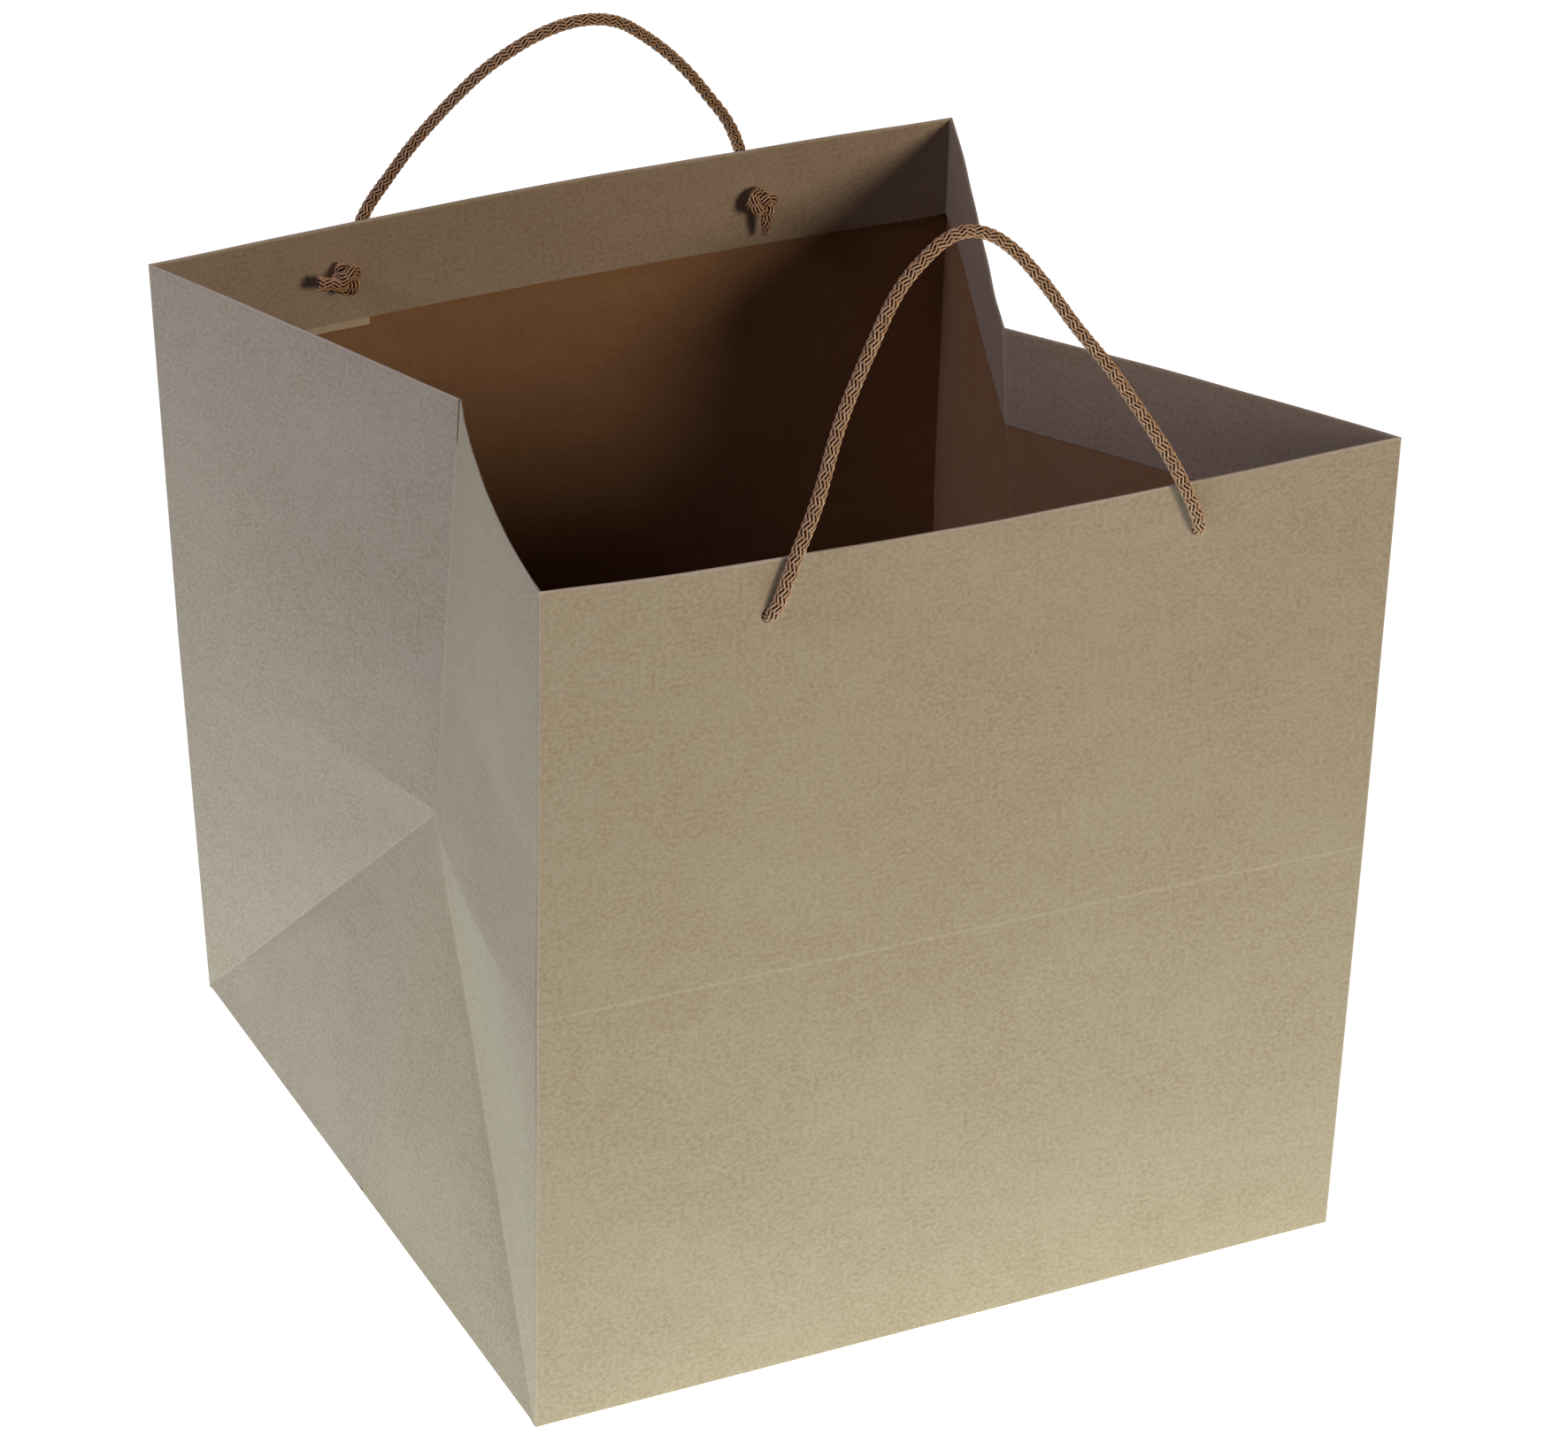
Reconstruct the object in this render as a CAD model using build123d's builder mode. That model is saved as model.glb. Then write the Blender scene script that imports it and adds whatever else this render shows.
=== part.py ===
"""Gusseted paper carrier bag with two knotted rope handles.

Millimetres, +Z up, the front panel faces -Y. The origin is the centre of the footprint on the floor.
The bag is one folded paper sheet, built panel by panel and parted by hairline gaps at its creases.
"""

from build123d import *
import math
import os

os.makedirs("parts", exist_ok=True)

# overall size of the paper body
WIDTH = 320.0
DEPTH = 320.0
HEIGHT = 320.0
HALF_WIDTH = WIDTH / 2
HALF_DEPTH = DEPTH / 2
WALL_LEAN_IN = 10.0
WALL_LEAN = math.asin(WALL_LEAN_IN / HEIGHT)

# paper, card and the turned hem round the mouth
PAPER = 0.4
CARD = 0.8
BOARD = 1.2
GAP = 0.1
HEM_HEIGHT = 40.0
HEM_BASE = HEIGHT - HEM_HEIGHT
WALL_HEM_DEPTH = PAPER + GAP + CARD + GAP + PAPER
WALL_HEM_HALF_WIDTH = HALF_WIDTH - 1.8
CARD_HALF_WIDTH = HALF_WIDTH - 6.0
CARD_BASE = HEM_BASE + 2.0
CARD_TOP = HEIGHT - 3.0

# side gussets, folded in along their centre crease down to the tip of the lower triangle
FOLD_IN = 40.0
APEX_HEIGHT = math.sqrt(HALF_DEPTH**2 - FOLD_IN**2)
APEX_ALONG = HALF_DEPTH * math.sin(WALL_LEAN) + APEX_HEIGHT * math.cos(WALL_LEAN)
APEX_ACROSS = math.sqrt(2 * HALF_DEPTH**2 - APEX_ALONG**2)
TOP_ACROSS = APEX_ACROSS * (HALF_DEPTH - WALL_LEAN_IN) / (HALF_DEPTH - APEX_ALONG * math.sin(WALL_LEAN))
GUSSET_START = PAPER + 2 * GAP
GUSSET_HEM_START = WALL_HEM_DEPTH + 6 * GAP
TRIANGLE_BASE_INSET = 2 * GAP
TRIANGLE_TIP_INSET = 1.0

# folded bottom, its layers from the floor up
LAYER = PAPER + GAP
BOTTOM_HALF_WIDTH = HALF_WIDTH - 0.7
INNER_HALF_WIDTH = HALF_WIDTH - 1.5
BOTTOM_EDGE = HALF_DEPTH - PAPER - GAP
FRONT_FLAP_REACH = 200.0
REAR_FLAP_REACH = 185.0
FLAP_BEVEL = 60.0
SIDE_FLAP_REACH = 110.0
BOARD_HALF_SIZE = 156.0

# glued tab of the side seam, inside the back panel's left edge
SEAM_TAB_WIDTH = 24.0
SEAM_TAB_BASE = 3.0
SEAM_TAB_TOP = HEM_BASE - 1.0

# rope handles, their holes and the two places where each rope bends
CORD_RADIUS = 2.6
HOLE_RADIUS = CORD_RADIUS + 0.3
HOLE_X = 80.0
HOLE_Z = HEIGHT - 21.0
ROPE_STANDOFF = CORD_RADIUS + 2 * GAP
BEND_Z = HEIGHT + CORD_RADIUS + 1.0
JOINT_CLEARANCE = CORD_RADIUS + GAP

# loop of each rope above its upper bend: half spacing, rise, and lean over the mouth in degrees
FRONT_BEND_X = 67.0
FRONT_SHOULDER = (48.5, 36.0)
FRONT_NECK = (23.0, 76.0)
FRONT_TOP = (0.0, 91.0)
FRONT_LEAN = 8.0
BACK_BEND_X = 76.0
BACK_SHOULDER = (61.0, 31.0)
BACK_NECK = (34.0, 68.0)
BACK_TOP = (0.0, 86.0)
BACK_LEAN = 24.0

# overhand knots inside the bag, each with a short tail
KNOT_TURN_RADIUS = 3.4
KNOT_TURN_CORD = 2.6
KNOT_CORE_RADIUS = 5.2
KNOT_TWIST = 65.0
KNOT_TURN = 25.0
KNOT_DEPTH = WALL_HEM_DEPTH + KNOT_TURN_RADIUS + KNOT_TURN_CORD + GAP
TAIL_RADIUS = 2.4
TAIL_LENGTH = 17.0
HANGING_TAIL = 10.0
SIDEWAYS_TAIL = 95.0

LEFT = -1
RIGHT = 1
FRONT = -1
BACK = 1


def wall_plane(end, depth=0.0):
    """Leaning plane of the front or back wall: local x across, y up the wall, z into the bag."""
    inward = Vector(0, -end * math.cos(WALL_LEAN), -math.sin(WALL_LEAN))
    return Plane(origin=(0, end * HALF_DEPTH, 0), x_dir=(end, 0, 0), z_dir=inward).offset(depth)


def drilled_wall(end, half_width, bottom, top, depth, thickness):
    """Sheet along the front or back wall, drilled for the rope."""
    with BuildPart() as wall:
        with BuildSketch(wall_plane(end, depth)):
            with Locations((0, (bottom + top) / 2)):
                Rectangle(2 * half_width, top - bottom)
            with Locations((-HOLE_X, HOLE_Z), (HOLE_X, HOLE_Z)):
                Circle(HOLE_RADIUS, mode=Mode.SUBTRACT)
        extrude(amount=thickness)
    return wall


def turned_hem(end):
    """Paper turned over the rim of the front or back wall and down its inside."""
    strip_depth = WALL_HEM_DEPTH - PAPER
    strip = drilled_wall(end, WALL_HEM_HALF_WIDTH, HEM_BASE, HEIGHT, strip_depth, PAPER)
    with BuildPart() as hem:
        add(strip.part)
        with BuildSketch(wall_plane(end)):
            with Locations((0, HEIGHT - PAPER / 2)):
                Rectangle(2 * WALL_HEM_HALF_WIDTH, PAPER)
        extrude(amount=WALL_HEM_DEPTH)
    return hem


def fold_line(along):
    """Distance from a gusset's corner edge to its centre crease, this far up the edge."""
    share = (along - APEX_ALONG) / (HEIGHT - APEX_ALONG)
    return APEX_ACROSS + share * (TOP_ACROSS - APEX_ACROSS) - GAP


def gusset_layer(side, end, outline, depth, thickness):
    """Flat layer of half a gusset, its outline given up the corner edge and across from it."""
    corner = Vector(side * HALF_WIDTH, end * HALF_DEPTH, 0)
    apex = Vector(side * (HALF_WIDTH - FOLD_IN), 0, APEX_HEIGHT)
    up_edge = wall_plane(end).y_dir
    flip = -side * end
    inward = up_edge.cross(apex - corner).normalized() * flip
    with BuildPart() as layer:
        with BuildSketch(Plane(origin=corner, x_dir=up_edge, z_dir=inward).offset(depth)):
            with BuildLine():
                Polyline([(along, flip * across) for along, across in outline], close=True)
            make_face()
        extrude(amount=thickness)
    return layer


def gusset_half(side, end):
    """Half of a gusset, with its lower edge on the diagonal crease."""
    top = HEIGHT - LAYER
    outline = [
        (GUSSET_START * APEX_ALONG / APEX_ACROSS, GUSSET_START),
        (top, GUSSET_START),
        (top, fold_line(top)),
        (APEX_ALONG, fold_line(APEX_ALONG)),
    ]
    return gusset_layer(side, end, outline, 0, PAPER)


def gusset_hem(side, end):
    """Paper turned over the rim of half a gusset."""
    strip = [
        (HEM_BASE, GUSSET_HEM_START),
        (HEIGHT, GUSSET_HEM_START),
        (HEIGHT, fold_line(HEIGHT)),
        (HEM_BASE, fold_line(HEM_BASE)),
    ]
    turn = [
        (HEIGHT - PAPER, GUSSET_HEM_START),
        (HEIGHT, GUSSET_HEM_START),
        (HEIGHT, fold_line(HEIGHT)),
        (HEIGHT - PAPER, fold_line(HEIGHT)),
    ]
    with BuildPart() as hem:
        add(gusset_layer(side, end, strip, LAYER, PAPER).part)
        add(gusset_layer(side, end, turn, 0, LAYER + PAPER).part)
    return hem


def lower_triangle(side):
    """Triangle that rises from the bottom's side edge and leans in to the foot of the gusset fold."""
    tilt = Plane(
        origin=(side * HALF_WIDTH, 0, 0),
        x_dir=(0, 1, 0),
        z_dir=(-side * APEX_HEIGHT, 0, -FOLD_IN),
    )
    base = -side * TRIANGLE_BASE_INSET
    tip = -side * (HALF_DEPTH - TRIANGLE_TIP_INSET)
    half_base = HALF_DEPTH - GUSSET_START
    with BuildPart() as triangle:
        with BuildSketch(tilt):
            with BuildLine():
                Polyline((-half_base, base), (half_base, base), (0, tip), close=True)
            make_face()
        extrude(amount=PAPER)
    return triangle


def rope_point(end, x, up, depth):
    """Point at world x, this far up a wall and this deep into the bag."""
    return wall_plane(end).from_local_coords(Vector(end * x, up, depth))


def rope_knot(side, end, tail_angle):
    """Knot against the hem, with the rope end that passes out through the hole."""
    hole = rope_point(end, side * HOLE_X, HOLE_Z, -ROPE_STANDOFF)
    centre = rope_point(end, side * HOLE_X, HOLE_Z, KNOT_DEPTH)
    with BuildPart() as knot:
        with Locations(hole):
            Sphere(CORD_RADIUS)
        with BuildSketch(Plane(origin=centre, z_dir=hole - centre)):
            Circle(CORD_RADIUS)
        extrude(amount=KNOT_DEPTH + ROPE_STANDOFF)
        with Locations(centre):
            Sphere(KNOT_CORE_RADIUS)
            Torus(KNOT_TURN_RADIUS, KNOT_TURN_CORD, rotation=(KNOT_TWIST, side * KNOT_TURN, 0))
            Cylinder(
                TAIL_RADIUS,
                TAIL_LENGTH,
                rotation=(0, side * tail_angle, 0),
                align=(Align.CENTER, Align.CENTER, Align.MAX),
            )
    return knot


def rope_leg(side, end, bend_x):
    """Straight run of rope up the outside of the bag, from its hole to just above the rim."""
    hole = rope_point(end, side * HOLE_X, HOLE_Z, -ROPE_STANDOFF)
    bend = rope_point(end, side * bend_x, BEND_Z, -ROPE_STANDOFF)
    start = hole + (bend - hole).normalized() * JOINT_CLEARANCE
    with BuildPart() as leg:
        with BuildLine() as path:
            Line(start, bend)
        with BuildSketch(Plane(origin=start, z_dir=path.line % 0)):
            Circle(CORD_RADIUS)
        sweep()
        with Locations(bend):
            Sphere(CORD_RADIUS)
    return leg


def rope_loop(end, bend_x, shoulder, neck, top, lean):
    """Arch of rope between the two upper bends, leaning in over the mouth."""
    lean_in = math.radians(lean)
    upright = Plane(
        origin=rope_point(end, 0, BEND_Z, -ROPE_STANDOFF),
        x_dir=(1, 0, 0),
        z_dir=(0, -math.cos(lean_in), -end * math.sin(lean_in)),
    )
    bend = Vector(bend_x, 0)
    rise = (Vector(*shoulder) - bend).normalized()
    start = bend + rise * JOINT_CLEARANCE
    climb = upright.x_dir * rise.X + upright.y_dir * rise.Y
    fall = upright.x_dir * rise.X - upright.y_dir * rise.Y
    right_side = [(start.X, start.Y), shoulder, neck]
    left_side = [(-x, z) for x, z in reversed(right_side)]
    with BuildPart() as loop:
        with BuildLine(upright) as path:
            Spline(*right_side, top, *left_side, tangents=(climb, fall))
        with BuildSketch(Plane(origin=path.line @ 0, z_dir=path.line % 0)):
            Circle(CORD_RADIUS)
        sweep()
    return loop


# paper walls
front_panel = drilled_wall(FRONT, HALF_WIDTH, GAP, HEIGHT - LAYER, 0, PAPER)
back_panel = drilled_wall(BACK, HALF_WIDTH, GAP, HEIGHT - LAYER, 0, PAPER)
left_gusset_fore = gusset_half(LEFT, FRONT)
left_gusset_rear = gusset_half(LEFT, BACK)
right_gusset_fore = gusset_half(RIGHT, FRONT)
right_gusset_rear = gusset_half(RIGHT, BACK)
left_lower_triangle = lower_triangle(LEFT)
right_lower_triangle = lower_triangle(RIGHT)

with BuildPart() as side_seam_tab:
    with BuildSketch(wall_plane(BACK, LAYER)):
        with Locations((-INNER_HALF_WIDTH, SEAM_TAB_BASE)):
            Rectangle(SEAM_TAB_WIDTH, SEAM_TAB_TOP - SEAM_TAB_BASE, align=(Align.MIN, Align.MIN))
    extrude(amount=PAPER)

# folded bottom
with BuildPart() as bottom_front_flap:
    with Locations((0, -BOTTOM_EDGE, 0)):
        Box(
            2 * BOTTOM_HALF_WIDTH,
            FRONT_FLAP_REACH,
            PAPER,
            align=(Align.CENTER, Align.MIN, Align.MIN),
        )
    chamfer(bottom_front_flap.edges().filter_by(Axis.Z).group_by(Axis.Y)[-1], FLAP_BEVEL)

with BuildPart() as bottom_rear_flap:
    step_y = FRONT_FLAP_REACH - BOTTOM_EDGE + GAP
    with BuildSketch(Plane.YZ):
        with BuildLine():
            Polyline(
                (BOTTOM_EDGE, 0),
                (BOTTOM_EDGE, PAPER),
                (step_y + PAPER, PAPER),
                (step_y + PAPER, LAYER + PAPER),
                (BOTTOM_EDGE - REAR_FLAP_REACH, LAYER + PAPER),
                (BOTTOM_EDGE - REAR_FLAP_REACH, LAYER),
                (step_y, LAYER),
                (step_y, 0),
                close=True,
            )
        make_face()
    extrude(amount=BOTTOM_HALF_WIDTH, both=True)
    chamfer(bottom_rear_flap.edges().filter_by(Axis.Z).group_by(Axis.Y)[0], FLAP_BEVEL)

with BuildPart() as bottom_left_flap:
    with Locations((-INNER_HALF_WIDTH, 0, 2 * LAYER)):
        Box(
            SIDE_FLAP_REACH,
            2 * BOARD_HALF_SIZE,
            PAPER,
            align=(Align.MIN, Align.CENTER, Align.MIN),
        )
    chamfer(bottom_left_flap.edges().filter_by(Axis.Z).group_by(Axis.X)[-1], FLAP_BEVEL)

with BuildPart() as bottom_right_flap:
    add(bottom_left_flap.part.mirror(Plane.YZ))

with BuildPart() as base_board:
    with Locations((0, 0, 3 * LAYER)):
        Box(
            2 * BOARD_HALF_SIZE,
            2 * BOARD_HALF_SIZE,
            BOARD,
            align=(Align.CENTER, Align.CENTER, Align.MIN),
        )

# turned hem and the cards inside it
front_hem = turned_hem(FRONT)
back_hem = turned_hem(BACK)
left_gusset_fore_hem = gusset_hem(LEFT, FRONT)
left_gusset_rear_hem = gusset_hem(LEFT, BACK)
right_gusset_fore_hem = gusset_hem(RIGHT, FRONT)
right_gusset_rear_hem = gusset_hem(RIGHT, BACK)
front_hem_card = drilled_wall(FRONT, CARD_HALF_WIDTH, CARD_BASE, CARD_TOP, LAYER, CARD)
back_hem_card = drilled_wall(BACK, CARD_HALF_WIDTH, CARD_BASE, CARD_TOP, LAYER, CARD)

# rope handles
front_left_knot = rope_knot(LEFT, FRONT, HANGING_TAIL)
front_right_knot = rope_knot(RIGHT, FRONT, HANGING_TAIL)
back_left_knot = rope_knot(LEFT, BACK, SIDEWAYS_TAIL)
back_right_knot = rope_knot(RIGHT, BACK, HANGING_TAIL)
front_left_rope_leg = rope_leg(LEFT, FRONT, FRONT_BEND_X)
front_right_rope_leg = rope_leg(RIGHT, FRONT, FRONT_BEND_X)
back_left_rope_leg = rope_leg(LEFT, BACK, BACK_BEND_X)
back_right_rope_leg = rope_leg(RIGHT, BACK, BACK_BEND_X)
front_rope_loop = rope_loop(FRONT, FRONT_BEND_X, FRONT_SHOULDER, FRONT_NECK, FRONT_TOP, FRONT_LEAN)
back_rope_loop = rope_loop(BACK, BACK_BEND_X, BACK_SHOULDER, BACK_NECK, BACK_TOP, BACK_LEAN)

front_panel.part.label = "front_panel"
export_step(front_panel.part, "parts/front_panel.step")
back_panel.part.label = "back_panel"
export_step(back_panel.part, "parts/back_panel.step")
left_gusset_fore.part.label = "left_gusset_fore"
export_step(left_gusset_fore.part, "parts/left_gusset_fore.step")
left_gusset_rear.part.label = "left_gusset_rear"
export_step(left_gusset_rear.part, "parts/left_gusset_rear.step")
right_gusset_fore.part.label = "right_gusset_fore"
export_step(right_gusset_fore.part, "parts/right_gusset_fore.step")
right_gusset_rear.part.label = "right_gusset_rear"
export_step(right_gusset_rear.part, "parts/right_gusset_rear.step")
left_lower_triangle.part.label = "left_lower_triangle"
export_step(left_lower_triangle.part, "parts/left_lower_triangle.step")
right_lower_triangle.part.label = "right_lower_triangle"
export_step(right_lower_triangle.part, "parts/right_lower_triangle.step")
side_seam_tab.part.label = "side_seam_tab"
export_step(side_seam_tab.part, "parts/side_seam_tab.step")
bottom_front_flap.part.label = "bottom_front_flap"
export_step(bottom_front_flap.part, "parts/bottom_front_flap.step")
bottom_rear_flap.part.label = "bottom_rear_flap"
export_step(bottom_rear_flap.part, "parts/bottom_rear_flap.step")
bottom_left_flap.part.label = "bottom_left_flap"
export_step(bottom_left_flap.part, "parts/bottom_left_flap.step")
bottom_right_flap.part.label = "bottom_right_flap"
export_step(bottom_right_flap.part, "parts/bottom_right_flap.step")
base_board.part.label = "base_board"
export_step(base_board.part, "parts/base_board.step")
front_hem.part.label = "front_hem"
export_step(front_hem.part, "parts/front_hem.step")
back_hem.part.label = "back_hem"
export_step(back_hem.part, "parts/back_hem.step")
left_gusset_fore_hem.part.label = "left_gusset_fore_hem"
export_step(left_gusset_fore_hem.part, "parts/left_gusset_fore_hem.step")
left_gusset_rear_hem.part.label = "left_gusset_rear_hem"
export_step(left_gusset_rear_hem.part, "parts/left_gusset_rear_hem.step")
right_gusset_fore_hem.part.label = "right_gusset_fore_hem"
export_step(right_gusset_fore_hem.part, "parts/right_gusset_fore_hem.step")
right_gusset_rear_hem.part.label = "right_gusset_rear_hem"
export_step(right_gusset_rear_hem.part, "parts/right_gusset_rear_hem.step")
front_hem_card.part.label = "front_hem_card"
export_step(front_hem_card.part, "parts/front_hem_card.step")
back_hem_card.part.label = "back_hem_card"
export_step(back_hem_card.part, "parts/back_hem_card.step")
front_left_knot.part.label = "front_left_knot"
export_step(front_left_knot.part, "parts/front_left_knot.step")
front_right_knot.part.label = "front_right_knot"
export_step(front_right_knot.part, "parts/front_right_knot.step")
back_left_knot.part.label = "back_left_knot"
export_step(back_left_knot.part, "parts/back_left_knot.step")
back_right_knot.part.label = "back_right_knot"
export_step(back_right_knot.part, "parts/back_right_knot.step")
front_left_rope_leg.part.label = "front_left_rope_leg"
export_step(front_left_rope_leg.part, "parts/front_left_rope_leg.step")
front_right_rope_leg.part.label = "front_right_rope_leg"
export_step(front_right_rope_leg.part, "parts/front_right_rope_leg.step")
back_left_rope_leg.part.label = "back_left_rope_leg"
export_step(back_left_rope_leg.part, "parts/back_left_rope_leg.step")
back_right_rope_leg.part.label = "back_right_rope_leg"
export_step(back_right_rope_leg.part, "parts/back_right_rope_leg.step")
front_rope_loop.part.label = "front_rope_loop"
export_step(front_rope_loop.part, "parts/front_rope_loop.step")
back_rope_loop.part.label = "back_rope_loop"
export_step(back_rope_loop.part, "parts/back_rope_loop.step")
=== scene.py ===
import math

import bpy
import numpy as np
from mathutils import Matrix, Vector, noise


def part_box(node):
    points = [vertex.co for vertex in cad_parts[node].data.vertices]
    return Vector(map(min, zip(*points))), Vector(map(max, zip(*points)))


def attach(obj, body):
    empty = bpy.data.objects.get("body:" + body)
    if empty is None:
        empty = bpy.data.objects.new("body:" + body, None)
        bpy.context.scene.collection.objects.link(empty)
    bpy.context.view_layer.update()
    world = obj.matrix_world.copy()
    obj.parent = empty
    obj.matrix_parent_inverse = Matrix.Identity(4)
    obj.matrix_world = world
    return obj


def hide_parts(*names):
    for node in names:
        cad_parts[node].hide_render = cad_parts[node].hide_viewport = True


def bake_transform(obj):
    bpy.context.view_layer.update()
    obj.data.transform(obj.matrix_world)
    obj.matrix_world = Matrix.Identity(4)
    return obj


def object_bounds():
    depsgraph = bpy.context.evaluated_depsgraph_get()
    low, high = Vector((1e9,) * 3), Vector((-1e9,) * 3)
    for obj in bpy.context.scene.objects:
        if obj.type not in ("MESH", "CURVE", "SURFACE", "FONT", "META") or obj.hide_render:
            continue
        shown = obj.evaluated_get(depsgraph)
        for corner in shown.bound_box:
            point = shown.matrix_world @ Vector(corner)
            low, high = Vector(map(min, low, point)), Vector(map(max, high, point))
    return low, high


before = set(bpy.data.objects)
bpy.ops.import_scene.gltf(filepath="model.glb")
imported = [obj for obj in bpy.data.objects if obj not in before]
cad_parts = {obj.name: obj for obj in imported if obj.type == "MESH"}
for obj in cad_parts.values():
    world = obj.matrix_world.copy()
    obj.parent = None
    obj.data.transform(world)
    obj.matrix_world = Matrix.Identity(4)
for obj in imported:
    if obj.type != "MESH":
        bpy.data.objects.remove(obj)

cad_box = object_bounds()

MM = 0.001


def node_box(name):
    """A CAD node's lowest and highest corners in millimetres."""
    lo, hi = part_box(name)
    return np.array(lo) / MM, np.array(hi) / MM


# --- the folded sheet: its flat size and its corners in space, in millimetres ---

front_top = node_box("front_panel")[1]
HALF = front_top[0]  # half the bag's width, and its half depth at the floor
SIDE = 2 * HALF
RIM = front_top[2]
CREASE = RIM / 2  # height of the waist crease
TOP_Y = -front_top[1]  # half depth at the rim
MID_Y = (HALF + TOP_Y) / 2
HEM = RIM - node_box("front_hem")[0][2]
PAPER = 0.4
WALL_HEM_GAP = 1.8  # from the front or back to its hem, with a card between them
SIDE_HEM_GAP = 0.9  # from a gusset to its hem
CELL = 4.0  # spacing of the sheet's grid
ROUND = 1.0  # half width of a turned fold
TURN = 1.0  # the sheet starts to turn over this far below the rim, and has turned this far past it
EPS = 0.5  # step for slopes

FRONT, RIGHT, BACK, LEFT = range(4)
CORNERS = {"fl": (-1, -1), "fr": (1, -1), "br": (1, 1), "bl": (-1, 1)}
PANEL_ENDS = {FRONT: ("fl", "fr"), RIGHT: ("fr", "br"), BACK: ("br", "bl"), LEFT: ("bl", "fl")}


def corner(x, y, z, sag):
    """A corner of the square CAD bag, moved by how far the standing bag sags or twists there."""
    return np.array([x, y, z], float) + np.array(sag, float)


def corners_at(depth, z, sags):
    """The four corners at one height."""
    return {k: corner(x * HALF, y * depth, z, sags.get(k, (0, 0, 0))) for k, (x, y) in CORNERS.items()}


BASE = corners_at(HALF, 0, {})
WAIST = corners_at(MID_Y, CREASE, {
    "fl": (1.9, -0.5, 3.3), "fr": (3.0, -3.4, 0.1), "br": (-9.0, -1.0, 2.0), "bl": (-8.9, 5.0, -2.0)})
MOUTH = corners_at(TOP_Y, RIM, {
    "fl": (5.0, 2.4, 1.3), "fr": (9.3, -0.4, -2.4), "br": (-14.2, -5.8, 7.2), "bl": (-18.9, 2.8, -2.7)})
# the middle fold of each gusset: how deep it stands in the bag at the crease and at the rim
APEX_DEPTH = 30
FOLD_DEPTH = 40
APEX = {
    LEFT: corner(-HALF + APEX_DEPTH, 0, CREASE, (0.6, 0.5, -4.3)),
    RIGHT: corner(HALF - APEX_DEPTH, 0, CREASE, (-24.0, 0, -10.0)),
}
FOLD_TOP = {
    LEFT: corner(-HALF + FOLD_DEPTH, 0, RIM, (3.2, 8.2, -5.1)),
    RIGHT: corner(HALF - FOLD_DEPTH, 0, RIM, (-30.8, -7.8, -7.1)),
}

# rope holes: place along each wall from its first corner, and how far each is above the common row
HOLE_RADIUS = 2.75
HOLE_RISE = RIM - 21.0
HOLE_RUNS = {FRONT: (HALF - 78.7, HALF + 81.6), BACK: (HALF - 76.8, HALF + 88.6)}
HOLE_LIFT = {FRONT: (0.7, 3.0), BACK: (1.1, 2.2)}
HOLE_BLOCK = 6.0  # half width of the square left open round a hole
HOLE_SIDES = 16

# outward swell of the front and back, below and above the waist crease
WALL_SWELL = {FRONT: (0.9, 1.0), BACK: (0.8, -2.4)}
FRONT_SKEW = 0.87  # puts the front's fullest place a little left of its middle
# how far the rim's middle hangs below its corners (front) or stands above them (back)
RIM_RISE = {FRONT: -3.7, BACK: 4.5}
# outward swell of each gusset's first and second half at the rim, and of the part below its diagonals
GUSSET_SWELL = {LEFT: (-0.8, 4.0), RIGHT: (2.0, 0.5)}
GUSSET_LOW_SWELL = 0.9
# the middle fold below the crease stands inward by this much, within this reach
RIDGE_DEPTH = 1.3
RIDGE_REACH = 26.0
# the crease of the left gusset's fore half stands out, within this reach above and below it
WAIST_SWELL = 4.6
WAIST_REACH = 55.0
WAIST_FADE = 20.0
# half height of the soft turn at a gusset's waist, and how far from the corners it fades in and out
SOFT_TURN = 24.0
SOFT_START = 12.0
SOFT_END = 130.0
RIPPLE = 0.9

# a short slit at the top of the left gusset's middle fold
SLIT_DEPTH = 18.0
SLIT_WIDTH = 0.7


def unit(x):
    return np.clip(x, 0, 1)


def smooth(x):
    x = unit(x)
    return x * x * (3 - 2 * x)


def normed(vectors):
    return vectors / np.linalg.norm(vectors, axis=1)[:, None]


def flat_panel(panel, a, z):
    """Points of one panel's folded planes: a runs 0..SIDE from its first corner, z up the sheet."""
    first, last = PANEL_ENDS[panel]
    a = a[:, None]
    z = z[:, None]
    lower = unit(z / CREASE)
    upper = np.clip((z - CREASE) / (RIM - CREASE), 0, None)
    if panel in (FRONT, BACK):
        t = a / SIDE
        low = BASE[first] * (1 - t) + BASE[last] * t
        mid = WAIST[first] * (1 - t) + WAIST[last] * t
        top = MOUTH[first] * (1 - t) + MOUTH[last] * t
        return np.where(z <= CREASE, low * (1 - lower) + mid * lower, mid * (1 - upper) + top * upper)
    near_first = a <= HALF
    edge = np.where(near_first, a, SIDE - a)
    base = np.where(near_first, BASE[first], BASE[last])
    far_base = np.where(near_first, BASE[last], BASE[first])
    waist = np.where(near_first, WAIST[first], WAIST[last])
    mouth = np.where(near_first, MOUTH[first], MOUTH[last])
    apex = APEX[panel]
    t = edge / HALF
    triangle = apex * lower + far_base * (edge - z) / SIDE + base * (1 - lower - (edge - z) / SIDE)
    wedge = base + (z - edge) / CREASE * (waist - base) + t * (apex - base)
    centre = apex * (1 - upper) + FOLD_TOP[panel] * upper
    side = waist * (1 - upper) + mouth * upper
    high = side * (1 - t) + centre * t
    low = np.where(z <= edge, triangle, wedge)
    return np.where(z <= CREASE, low, high)


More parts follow.
